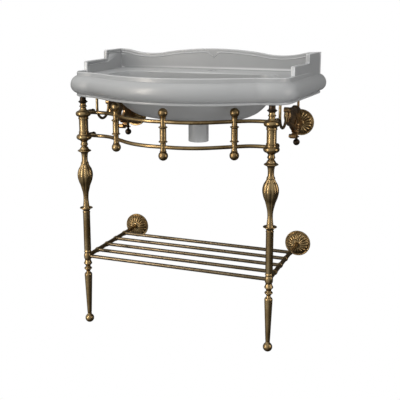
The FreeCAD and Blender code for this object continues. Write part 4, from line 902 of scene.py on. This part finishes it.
def carve(mesh, centre_x, wall_y, level):
    """Push the skin along its normals by fans of ribs, as leaf carving."""
    count = len(mesh.vertices)
    spots = np.empty(count * 3)
    ways = np.empty(count * 3)
    mesh.vertices.foreach_get("co", spots)
    mesh.vertices.foreach_get("normal", ways)
    spots, ways = spots.reshape(-1, 3) / MM, ways.reshape(-1, 3)
    out, up = wall_y - spots[:, 1], spots[:, 2] - level
    fan = np.arctan2(up - FAN_CENTRE[1], out - FAN_CENTRE[0])
    ribs = np.abs(np.sin(fan * RIB_COUNT + 0.02 * out)) ** 0.7
    leafy = np.clip((out - LEAF_FROM) / 25.0, 0, 1) * np.clip((LEAF_TO - out) / 14.0, 0, 1)
    curl_out, curl_up = out - CURL_CENTRE[0], up - CURL_CENTRE[1]
    curl_reach = np.hypot(curl_up, curl_out)
    on_curl = (up < CURL_TOP) & (curl_reach > CURL_INNER) & (curl_reach < CURL_OUTER)
    push = (ribs - 0.72) * RIB_DEPTH * leafy * (up > LEAF_UNDER)
    curl_push = CURL_DEPTH * np.cos(np.arctan2(curl_up, curl_out) * CURL_COUNT)
    push = np.where(on_curl, curl_push, push)
    on_post = np.hypot(out - POST_OUT, spots[:, 0] - centre_x) < POST_REACH
    push = np.where((on_post & (up > POST_FOOT)) | (out < PLAIN_TO), 0.0, push)
    spots += ways * push[:, None]
    mesh.vertices.foreach_set("co", (spots * MM).ravel())
    mesh.update()


for word in SIDES:
    node = f"bracket_{word}"
    skin = cast_skin(node)
    carve(skin, AXIS[word][0], high_corner("basin").y, middle_of(f"upper_rose_{word}").z)
    place_mesh(f"{node}_cast", skin, [node], sharp=75, finish=cast)
print("bracket skin:", len(skin.vertices), "points")

# %% Drops under the brackets
DROP_LENGTH = 48
DROP = [(0, -DROP_LENGTH, 3.37), (11.5, -36.5, 2.0), (4.2, -25.8), (4.2, -20.5), (8.2, -19.5, 0.8),
        (8.2, -16), (4.7, -15), (4.2, 0), (2.5, 0), (2.5, 10), (0, 10)]
for word in SIDES:
    node = f"drop_finial_{word}"
    at = (*middle_of(node)[:2], low_corner(node).z + DROP_LENGTH)
    turned(f"{node}_turned", [node], (DROP, "up", at))
print("drops hang to", round(low_corner(node).z), "mm")

# %% [markdown]
# ## The basin's casting
# The basin is one casting. Every level of it is a closed ring: the rim's outline outside,
# the bowl's outline inside, and the outlet's circle in the middle. So its skin is a stack
# of rings with the same number of points, from the waste hole up the bowl, over deck, lip
# and roll, under the bead and back down the outside of the bowl. Rings that sit close
# together make the small rounds that glaze leaves on each edge.

# %% The rim's plan
WALL = high_corner("basin").y
UNDERSIDE = high_corner("leg_cap_right").z
SIDE_X, FRONT_Y = 381.0, -246.0
BOW_R, BOW_TURN, FLANK = 366.0, math.radians(33.4), 78.0
OGEE_R, SLOPE = 55.0, math.radians(7.5)
CORNER_R, CANT = 70.0, math.radians(2.8)
COUNTS = {"bow": 64, "flank": 12, "ogee": 14, "shoulder": 14, "corner": 26, "side": 64}
BACK_COUNT = 96


def straight(start, end, count):
    return [tuple(a + (b - a) * i / count for a, b in zip(start, end)) for i in range(count)]


def rim_half(offset):
    """Right half of the rim's plan, from the middle of the bow to the wall."""
    centre_y = FRONT_Y + BOW_R
    ogee = ((BOW_R + OGEE_R) * math.sin(BOW_TURN) + FLANK * math.cos(BOW_TURN),
            centre_y - (BOW_R + OGEE_R) * math.cos(BOW_TURN) + FLANK * math.sin(BOW_TURN))
    shoulder_y = ogee[1] + (OGEE_R + CORNER_R) / math.cos(SLOPE) - ogee[0] * math.tan(SLOPE)
    side_there = SIDE_X - math.tan(CANT) * (WALL - shoulder_y)
    corner_x = (side_there - CORNER_R / math.cos(CANT)) / (1 - math.tan(CANT) * math.tan(SLOPE))
    corner = (corner_x, shoulder_y + corner_x * math.tan(SLOPE))
    points = []
    bow, hollow, round_r = BOW_R + offset, OGEE_R - offset, CORNER_R + offset
    for i in range(COUNTS["bow"]):
        turn = BOW_TURN * i / COUNTS["bow"]
        points.append((bow * math.sin(turn), centre_y - bow * math.cos(turn)))
    flank_start = (bow * math.sin(BOW_TURN), centre_y - bow * math.cos(BOW_TURN))
    flank_end = (ogee[0] - hollow * math.sin(BOW_TURN), ogee[1] + hollow * math.cos(BOW_TURN))
    points += straight(flank_start, flank_end, COUNTS["flank"])
    for i in range(COUNTS["ogee"]):
        turn = BOW_TURN + (SLOPE - BOW_TURN) * i / COUNTS["ogee"]
        points.append((ogee[0] - hollow * math.sin(turn), ogee[1] + hollow * math.cos(turn)))
    shoulder_start = (ogee[0] - hollow * math.sin(SLOPE), ogee[1] + hollow * math.cos(SLOPE))
    shoulder_end = (corner[0] + round_r * math.sin(SLOPE), corner[1] - round_r * math.cos(SLOPE))
    points += straight(shoulder_start, shoulder_end, COUNTS["shoulder"])
    for i in range(COUNTS["corner"]):
        turn = SLOPE + (math.pi / 2 - CANT - SLOPE) * i / COUNTS["corner"]
        points.append((corner[0] + round_r * math.sin(turn), corner[1] - round_r * math.cos(turn)))
    side_start = (corner[0] + round_r * math.cos(CANT), corner[1] - round_r * math.sin(CANT))
    back_y = WALL + min(offset, 0.0)
    side_end = (SIDE_X + offset / math.cos(CANT) - (WALL - back_y) * math.tan(CANT), back_y)
    points += straight(side_start, side_end, COUNTS["side"])
    points.append(side_end)
    return points


def rim_ring(offset):
    right = rim_half(offset)
    left = [(-x, y) for x, y in reversed(right[1:])]
    back = straight(right[-1], left[0], BACK_COUNT)[1:]
    return right + back + left


base_ring = rim_ring(0.0)
print("points in a ring:", len(base_ring))

# %% [markdown]
# The rings inside the rim are found along rays: from one centre over the outlet, a ray runs
# through each point of the rim and stops where it meets the bowl's own outline. So point
# after point lines up from the waste hole to the roll, and no face is twisted.

# %% The bowl's plan, met along the same rays
HUB = (0.0, WALL - 167.0)
FOCUS_Y, BOWL_BACK, BOWL_FRONT = WALL - 130.0, WALL - 120.0, WALL - 440.0
BOWL_W, BOWL_BOW, BOWL_END, BOWL_REAR = 278.0, 420.0, 165.0, 72.0


def bowl_outline(share, offset=0.0):
    """Closed outline of the bowl at a share of its size, grown by an offset."""
    width = BOWL_W * share + offset
    back = FOCUS_Y + (BOWL_BACK - FOCUS_Y) * share + offset
    front = FOCUS_Y + (BOWL_FRONT - FOCUS_Y) * share - offset
    bow, end, rear = (r * share + offset for r in (BOWL_BOW, BOWL_END, BOWL_REAR))
    arm, reach = width - end, bow - end
    fall = math.sqrt(reach * reach - arm * arm)
    corner_y = front + bow - fall
    touch = (bow * arm / reach, front + bow - bow * fall / reach)
    front_rise = bow - math.sqrt(bow * bow - touch[0] ** 2)
    chord = math.hypot(width - touch[0], corner_y - touch[1])
    side_rise = end - math.sqrt(end * end - chord * chord / 4)
    rear_rise = rear * (1 - math.sqrt(0.5))
    return outline([
        (-(width - rear), back, rear_rise), (-width, back - rear),
        (-width, corner_y, side_rise), (-touch[0], touch[1], front_rise),
        (touch[0], touch[1], side_rise), (width, corner_y),
        (width, back - rear, rear_rise), (width - rear, back),
    ], closed=True, steps=40)


RAYS = np.array([(x - HUB[0], y - HUB[1]) for x, y in base_ring])
RAYS /= np.linalg.norm(RAYS, axis=1)[:, None]


def met(shape):
    """Where each ray from the hub meets a closed outline round it."""
    start = np.array(shape) - HUB
    step = np.roll(start, -1, axis=0) - start
    ring = []
    for ray in RAYS:
        cross = ray[0] * step[:, 1] - ray[1] * step[:, 0]
        cross = np.where(np.abs(cross) < 1e-12, 1e-12, cross)
        along = (start[:, 0] * step[:, 1] - start[:, 1] * step[:, 0]) / cross
        share = (start[:, 0] * ray[1] - start[:, 1] * ray[0]) / cross
        hit = (share >= -1e-9) & (share <= 1 + 1e-9) & (along > 0)
        ring.append(tuple(HUB + ray * along[hit].max()))
    return ring


def disc(radius):
    return [(HUB[0] + radius * x, HUB[1] + radius * y) for x, y in RAYS]


print("bowl mouth is", round(2 * BOWL_W), "mm wide at the deck")

# %% Stack the rings
DECK, LIP_TOP, FLOOR = UNDERSIDE + 70.0, UNDERSIDE + 81.0, UNDERSIDE - 68.0
BEAD_TOP, WAIST, CROWN = UNDERSIDE + 9.5, UNDERSIDE + 37.0, UNDERSIDE + 66.5
WASTE_R, OUTLET_R, OUTLET_END = 23.0, 34.5, UNDERSIDE - 162.0
PROUD, WALL_THICK, BOWL_DEPTH = 19.9, 14.0, 138.0
BOWL_EASE, LIP_FOOT, BOWL_STEPS = 5.0, -22.0, 34
BOWL_SHAPE = [(0.0, 1.0), (0.13, 0.965), (0.4, 0.9), (0.6, 0.83), (0.74, 0.76), (0.87, 0.66),
              (0.95, 0.53), (1.0, 0.34)]


def smooth_steps(corners, count):
    """Points of a smooth line through corners, by their own spacing."""
    knots = np.array(corners)
    spacing = np.hypot(*np.diff(knots, axis=0).T)
    at = np.concatenate([[0], np.cumsum(spacing)])
    slopes = np.gradient(knots, at, axis=0)
    line = []
    for t in np.linspace(0, at[-1], count):
        i = min(np.searchsorted(at, t, side="right") - 1, len(at) - 2)
        width = at[i + 1] - at[i]
        u = (t - at[i]) / width
        line.append((2 * u**3 - 3 * u**2 + 1) * knots[i] + (u**3 - 2 * u**2 + u) * width * slopes[i]
                    + (3 * u**2 - 2 * u**3) * knots[i + 1] + (u**3 - u**2) * width * slopes[i + 1])
    return line


def between(first, second, share):
    return [tuple(p + (q - p) * share for p, q in zip(a, b)) for a, b in zip(first, second)]


DECK_STEPS = 14
rings = [(disc(WASTE_R + 1.5), FLOOR - 1.2), (disc(WASTE_R + 4), FLOOR - 0.2)]
inside = smooth_steps(BOWL_SHAPE, BOWL_STEPS)
for depth, share in reversed(inside[1:]):
    rings.append((met(bowl_outline(share)), DECK - BOWL_DEPTH * depth))
for turn in np.radians([0, 25, 50, 72, 90]):
    grow = BOWL_EASE * (1 - math.cos(turn))
    rings.append((met(bowl_outline(1.0, grow - 0.3)), DECK - BOWL_EASE * (1 - math.sin(turn))))
deck_edge, lip_foot = met(bowl_outline(1.0, BOWL_EASE + 4.0)), rim_ring(LIP_FOOT)
rings += [(between(deck_edge, lip_foot, i / DECK_STEPS), DECK) for i in range(DECK_STEPS)]
LIP = [(LIP_FOOT, DECK), (-17, DECK + 0.1), (-14.8, DECK + 0.9), (-13.4, DECK + 2.6),
       (-12.9, LIP_TOP - 3.2), (-12.2, LIP_TOP - 1.4), (-10.6, LIP_TOP - 0.25),
       (-9, LIP_TOP), (-5.6, LIP_TOP), (-3.8, LIP_TOP - 0.4), (-2.5, LIP_TOP - 1.6),
       (-2.0, LIP_TOP - 3.4), (-2.0, CROWN + 2.2), (-1.5, CROWN + 0.8), (-0.2, CROWN)]
rings += [(rim_ring(offset), level) for offset, level in LIP]
print("rings up to the roll:", len(rings))

# %% The roll, the bead and the underside
def roll_arc(start, end, count):
    """Arc of the roll between two (offset, level) points, upright at its widest."""
    (a, low), (b, high) = start, end
    across, up = abs(b - a), abs(high - low)
    radius = (across * across + up * up) / (2 * across)
    widest = max(a, b)
    middle = low if a == widest else high
    first = math.atan2(low - middle, a - widest + radius)
    last = math.atan2(high - middle, b - widest + radius)
    turns = np.linspace(first, last, count)
    return [(widest - radius + radius * math.cos(t), middle + radius * math.sin(t)) for t in turns]


ROLL = roll_arc((0.0, CROWN), (PROUD, WAIST), 16)[1:]
ROLL += roll_arc((PROUD, WAIST), (-1.6, BEAD_TOP + 0.4), 18)[1:]
BEAD = [(-2.0, BEAD_TOP - 0.3), (-1.6, BEAD_TOP - 0.9), (-0.4, BEAD_TOP - 1.9),
        (0.3, BEAD_TOP - 3.4), (0.5, BEAD_TOP - 5.0), (0.2, BEAD_TOP - 6.8),
        (-0.7, BEAD_TOP - 8.4), (-2.2, BEAD_TOP - 9.3), (-5.0, UNDERSIDE)]
rings += [(rim_ring(offset), level) for offset, level in ROLL + BEAD]
LAND_X, LAND_BACK, LAND_FRONT = 306.0, WALL - 14.0, FRONT_Y + 90.0
CUT_X, CUT_Y = 130.0, 90.0
HOLLOW = [(-LAND_X, LAND_BACK), (-LAND_X, LAND_FRONT + CUT_Y), (-LAND_X + CUT_X, LAND_FRONT),
          (LAND_X - CUT_X, LAND_FRONT), (LAND_X, LAND_FRONT + CUT_Y), (LAND_X, LAND_BACK)]
HOLLOW_TOP = DECK - 16.0
hollow_ring = met(HOLLOW)
outer_mouth = met(bowl_outline(1.0, WALL_THICK))
rings += [(between(hollow_ring, rim_ring(-5.0), 0.02), UNDERSIDE),
          (hollow_ring, UNDERSIDE + 2), (hollow_ring, HOLLOW_TOP - 2),
          (between(hollow_ring, outer_mouth, 0.1), HOLLOW_TOP),
          (between(hollow_ring, outer_mouth, 0.9), HOLLOW_TOP)]
for depth, share in inside[6:]:
    rings.append((met(bowl_outline(share, WALL_THICK)), DECK - (BOWL_DEPTH + WALL_THICK) * depth))
BOWL_BOTTOM = DECK - BOWL_DEPTH - WALL_THICK
rings += [(disc(OUTLET_R + 9), BOWL_BOTTOM), (disc(OUTLET_R + 3), BOWL_BOTTOM - 1),
          (disc(OUTLET_R + 0.6), BOWL_BOTTOM - 4), (disc(OUTLET_R), BOWL_BOTTOM - 9),
          (disc(OUTLET_R), OUTLET_END + 2), (disc(OUTLET_R - 0.7), OUTLET_END + 0.6),
          (disc(OUTLET_R - 2), OUTLET_END), (disc(WASTE_R + 1), OUTLET_END),
          (disc(WASTE_R), OUTLET_END + 1), (disc(WASTE_R), FLOOR - 4)]
count = len(base_ring)
points = [(x, y, level) for ring, level in rings for x, y in ring]
faces = []
for i in range(len(rings)):
    here, there = i * count, ((i + 1) % len(rings)) * count
    for j in range(count):
        k = (j + 1) % count
        faces.append([here + j, here + k, there + k, there + j])
casting = (points, faces)
print("casting:", len(rings), "rings,", len(faces), "faces")

# %% [markdown]
# ## Upstand and wings
# The upstand at the wall has an arched top, and the wings step down towards the front.
# Both are flat plates with rounded edges and a raised field, whose border follows the
# outline and dips to a point in the middle of the upstand. Each is a nest of outlines, one
# inside the other, at slightly different depths.

# %% Plates as nested outlines
def inset(shape, distance):
    """Closed outline moved inwards, corner by corner."""
    spots = np.array(shape)
    into = spots - np.roll(spots, 1, axis=0)
    out = np.roll(spots, -1, axis=0) - spots
    into /= np.linalg.norm(into, axis=1)[:, None]
    out /= np.linalg.norm(out, axis=1)[:, None]
    normals = [np.stack([-w[:, 1], w[:, 0]], axis=1) for w in (into, out)]
    mitre = normals[0] + normals[1]
    mitre /= np.maximum(0.35, (mitre * normals[0]).sum(axis=1))[:, None]
    return spots + mitre * distance


def plate(shape, nest, warp=None):
    """Closed skin through (inset, depth) loops, with a cap at both ends."""
    count = len(shape)
    points, faces = [], []
    for distance, depth in nest:
        loop = inset(shape, distance)
        if warp is not None:
            loop = warp(loop, distance)
        points += [(a, depth, b) for a, b in loop]
    for row in range(len(nest) - 1):
        for i in range(count):
            j = (i + 1) % count
            a, b = row * count, (row + 1) * count
            faces.append([a + i, a + j, b + j, b + i])
    for row in (0, len(nest) - 1):
        loop = [Vector(p) for p in points[row * count:(row + 1) * count]]
        faces += [[row * count + i for i in face] for face in tessellate_polygon([loop])]
    return points, faces


SINK_IN = 14.0
TOP = DECK + 75.0
PLATE_HALF, ARCH_HALF, END_X = 380.0, 175.0, 335.0
ARCH_RISE, HOLLOW_RISE = 12.5, 10
PLATE_SHAPE = (
    straight((-PLATE_HALF, DECK - SINK_IN), (PLATE_HALF, DECK - SINK_IN), 24)
    + straight((PLATE_HALF, DECK - SINK_IN), (PLATE_HALF, TOP - 5), 12)
    + straight((PLATE_HALF, TOP - 5), (END_X, TOP - 7), 6)
    + bowed((END_X, TOP - 7), (ARCH_HALF, TOP - ARCH_RISE), -HOLLOW_RISE, 30)
    + bowed((ARCH_HALF, TOP - ARCH_RISE), (-ARCH_HALF, TOP - ARCH_RISE), ARCH_RISE, 140)
    + bowed((-ARCH_HALF, TOP - ARCH_RISE), (-END_X, TOP - 7), -HOLLOW_RISE, 30)
    + straight((-END_X, TOP - 7), (-PLATE_HALF, TOP - 5), 6)
    + straight((-PLATE_HALF, TOP - 5), (-PLATE_HALF, DECK - SINK_IN), 12)
)
KEEL_HALF, KEEL_DROP, FIELD_START = 27.0, 19.0, 9.0


def keel(loop, distance):
    """The field's border dips to a point in the middle of the upstand."""
    if distance < FIELD_START:
        return loop
    near = np.clip(1 - np.abs(loop[:, 0]) / KEEL_HALF, 0, 1) ** 1.4
    on_top = loop[:, 1] > DECK + 30
    loop = loop.copy()
    loop[:, 1] -= np.where(on_top, KEEL_DROP * near, 0)
    return loop


FACE = WALL - 15.0
PLATE_NEST = [(0, WALL - 0.1), (0, FACE + 3), (0.3, FACE + 1.5), (1.2, FACE + 0.4),
              (2.6, FACE), (3.2, FACE), (8.8, FACE), (9.6, FACE), (10.4, FACE - 0.5),
              (11.2, FACE - 1.7), (12.2, FACE - 2.3), (13.2, FACE - 2.0), (14, FACE - 1.1),
              (14.8, FACE - 0.8), (15.6, FACE - 0.8), (17, FACE - 0.8)]
upstand = plate(PLATE_SHAPE, PLATE_NEST, keel)
print("upstand stands", round(TOP - DECK), "mm above the deck")

# %% The wings
WING_CANT = math.radians(3.4)
HIGH_END, LOW_END = WALL - 141.0, WALL - 301.0
WING_TOP, WING_LOW = TOP - 5.0, TOP - 35.0
EASE = 5.0
ROUND = EASE * (1 - math.sqrt(0.5))
WING_SHAPE = outline([
    (LOW_END, DECK - SINK_IN), (WALL - 6, DECK - SINK_IN), (WALL - 6, WING_TOP),
    (HIGH_END + EASE, WING_TOP, ROUND), (HIGH_END, WING_TOP - EASE),
    (HIGH_END, WING_LOW + EASE, -ROUND), (HIGH_END - EASE, WING_LOW),
    (LOW_END + EASE, WING_LOW, ROUND), (LOW_END, WING_LOW - EASE),
], closed=True, steps=8)
WING_THICK = 13.0
WING_NEST = [(3.2, 0.0), (2.6, 0.0), (1.2, 0.4), (0.3, 1.5), (0, 3.0), (0, WING_THICK - 3),
             (0.3, WING_THICK - 1.5), (1.2, WING_THICK - 0.4), (2.6, WING_THICK),
             (3.2, WING_THICK), (7.6, WING_THICK), (8.4, WING_THICK), (9.2, WING_THICK + 0.5),
             (10, WING_THICK + 1.7), (11, WING_THICK + 2.3), (12, WING_THICK + 2.0),
             (12.8, WING_THICK + 1.1), (13.6, WING_THICK + 0.8), (15, WING_THICK + 0.8)]
wing_points, wing_faces = plate(WING_SHAPE, WING_NEST)


def wing(side):
    spots = []
    for along, depth, level in wing_points:
        x = PLATE_HALF - depth - math.tan(WING_CANT) * (WALL - along)
        spots.append((side * x, along, level))
    return spots, wing_faces


TAP_FROM_WALL, TAP_RADIUS, TAP_DEPTH = 34.0, 17.5, 22.0
plates = joined(upstand, wing(-1), wing(1))
print("wings run", round(WALL - LOW_END), "mm from the wall")

# %% [markdown]
# ## The tap hole
# The deck has one hole for a tap, close to the upstand. It is cut last, by a Boolean with a
# turned cutter whose rim is eased, so that the hole keeps a soft glazed edge. A hole drawn
# on the surface instead would look flat in raking light.

# %% Cut the tap hole
cutter_profile = [(0, -TAP_DEPTH), (TAP_RADIUS, -TAP_DEPTH), (TAP_RADIUS, -1.6, -0.5),
                  (TAP_RADIUS + 1.4, 0.0), (TAP_RADIUS + 1.8, 4.0), (0, 4.0)]
cutter_points, cutter_faces = lathe(cutter_profile)
cutter_place = laid(cutter_points, "up", (0.0, WALL - TAP_FROM_WALL, DECK))
cutter = shown("tap_cutter", mesh_from("tap_cutter", cutter_place, cutter_faces))
blank = shown("basin_blank", mesh_from("basin_blank", *casting))
cut = blank.modifiers.new("tap_hole", "BOOLEAN")
cut.operation = "DIFFERENCE"
cut.solver = "EXACT"
cut.object = cutter
holed = frozen(blank)
bpy.data.objects.remove(cutter)
whole = bmesh.new()
whole.from_mesh(holed)
whole.from_mesh(mesh_from("basin_plates", *plates))
whole.to_mesh(holed)
whole.free()
place_mesh("basin_glazed", holed, ["basin"], sharp=38)
print("basin after the cut:", len(holed.polygons), "faces")

# %% [markdown]
# ## What stays as the CAD made it
# The wall flanges and the rods inside the legs are plain machined steel, hidden in use.
# Their CAD shapes are right as they are, so they only get their finish.

# %% Finish the hidden steel
for node in ("upper_flanges", "lower_flanges", "tie_rod_left", "tie_rod_right"):
    part = frame["nodes"][node]
    part.data.materials.clear()
    part.data.materials.append(FINISH[SLOTS[node]])

# %% [markdown]
# ## Studio
# The photograph is a catalogue picture: a white ground, soft light from the upper left and
# a darker room behind the camera. The white ground is a floor and a backdrop that the metal
# doesn't mirror, or every brass edge would turn pale. Tall, narrow lights draw the long
# highlights down the legs. Ceramic and metal have lamps of their own, so that each can be
# set apart, and a low lamp stands in for the light that a white floor throws up.

# %% Floor and backdrop
def glowing(name, hex_text, strength):
    material, tree = new_material(name)
    shine = add(tree, "ShaderNodeEmission", {"Color": linear(hex_text), "Strength": strength})
    add(tree, "ShaderNodeOutputMaterial", {"Surface": shine.outputs["Emission"]})
    return material


def flat_sheet(name, corners, material):
    mesh = bpy.data.meshes.new(name)
    mesh.from_pydata(corners, [], [[0, 1, 2, 3]])
    mesh.materials.append(material)
    sheet = shown(name, mesh)
    sheet.visible_glossy = False
    sheet.visible_diffuse = False
    sheet.visible_shadow = False
    sheet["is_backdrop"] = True
    return sheet


paper = glowing("white_paper", "#FFFFFF", 1.0)
REACH = 14.0
FLOOR_Z, SHEET_FOOT, HEIGHT = -0.012, -0.1, 12.0
flat_sheet("studio_floor", [(-REACH, -REACH, FLOOR_Z), (REACH, -REACH, FLOOR_Z),
                            (REACH, REACH, FLOOR_Z), (-REACH, REACH, FLOOR_Z)], paper)
for name, (ax, ay), (bx, by) in (
        ("backdrop_north", (-1, 1), (1, 1)), ("backdrop_east", (1, 1), (1, -1)),
        ("backdrop_south", (1, -1), (-1, -1)), ("backdrop_west", (-1, -1), (-1, 1))):
    flat_sheet(name, [(ax * REACH, ay * REACH, SHEET_FOOT), (bx * REACH, by * REACH, SHEET_FOOT),
                      (bx * REACH, by * REACH, HEIGHT), (ax * REACH, ay * REACH, HEIGHT)], paper)
print("floor is", 2 * REACH, "m wide")

# %% Lights
BRIGHT_WAY = (-0.42, -0.66, 0.62)
world = bpy.data.worlds.new("studio")
bpy.context.scene.world = world
world.use_nodes = True
room = world.node_tree
looked = add(room, "ShaderNodeTexCoord").outputs["Generated"]
facing = add(room, "ShaderNodeVectorMath", {0: looked, 1: BRIGHT_WAY},
             operation="DOT_PRODUCT").outputs["Value"]
glow = span(room, facing, -0.35, 1.0, 0.06, 0.95)
room.nodes["Background"].inputs["Color"].default_value = linear("#F4F4F2")
room.links.new(glow, room.nodes["Background"].inputs["Strength"])
AIM = Vector((0.0, 0.0, 0.55))


def lamp(name, place, width, height, power, hex_text="#FFFFFF", seen_in="both"):
    light = bpy.data.lights.new(name, "AREA")
    light.shape = "RECTANGLE"
    light.size, light.size_y = width, height
    light.energy = power
    light.color = linear(hex_text)[:3]
    holder = shown(name, light)
    holder.location = place
    holder.rotation_euler = (AIM - Vector(place)).to_track_quat("-Z", "Y").to_euler()
    holder.visible_glossy = seen_in != "clay"
    holder.visible_diffuse = seen_in != "metal"
    return holder


lamp("key_left", (-2.0, -2.3, 1.5), 0.8, 2.6, 21, "#FFFAF2", "clay")
lamp("streak_left", (-1.75, -2.5, 1.3), 0.36, 3.2, 58, "#FFF3E6", "metal")
lamp("top", (-0.3, -0.3, 3.0), 2.4, 1.8, 26, "#FFFFFF", "clay")
lamp("streak_right", (2.7, -0.2, 1.0), 0.9, 2.0, 20, "#FFF6EE", "metal")
lamp("fill_right", (3.0, -0.9, 1.0), 2.6, 2.2, 40, "#FFFFFF", "clay")
lamp("fill_low", (1.8, -2.2, 0.05), 2.4, 0.8, 3, "#FFFFFF", "clay")
lamp("bounce", (0.3, -0.35, 0.02), 1.4, 0.8, 3.2, "#FFFFFF", "clay")

# %% [markdown]
# ## Camera
# The picture was taken with upright lines kept upright, which takes a large lens shift.
# Other views would keep that shift and lose the object, so the camera here looks down a
# little and is shifted only slightly. Its place, turn and lens are a best fit of known
# points of the model to the picture.

# %% Camera
FOCAL_PX, FRAME_PX, SENSOR = 722.3, 400.0, 36.0
YAW, PITCH = math.radians(20.71), math.radians(11.39)
CAMERA_MM = (868.5, -2184.2, 1043.5)
camera_data = bpy.data.cameras.new("camera")
camera_data.sensor_width = SENSOR
camera_data.lens = FOCAL_PX / FRAME_PX * SENSOR
camera_data.shift_y = -0.10
camera = shown("camera", camera_data)
camera.location = Vector(CAMERA_MM) * MM
view_way = Vector((-math.sin(YAW) * math.cos(PITCH), math.cos(YAW) * math.cos(PITCH),
                   -math.sin(PITCH)))
camera.rotation_euler = view_way.to_track_quat("-Z", "Y").to_euler()
bpy.context.scene.camera = camera
bpy.context.scene.view_settings.view_transform = "Standard"
print("lens:", round(camera_data.lens, 1), "mm")

# %% Measure and finish
low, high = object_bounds()
print("visual box, mm:", [round(c / MM) for c in (*low, *high)])
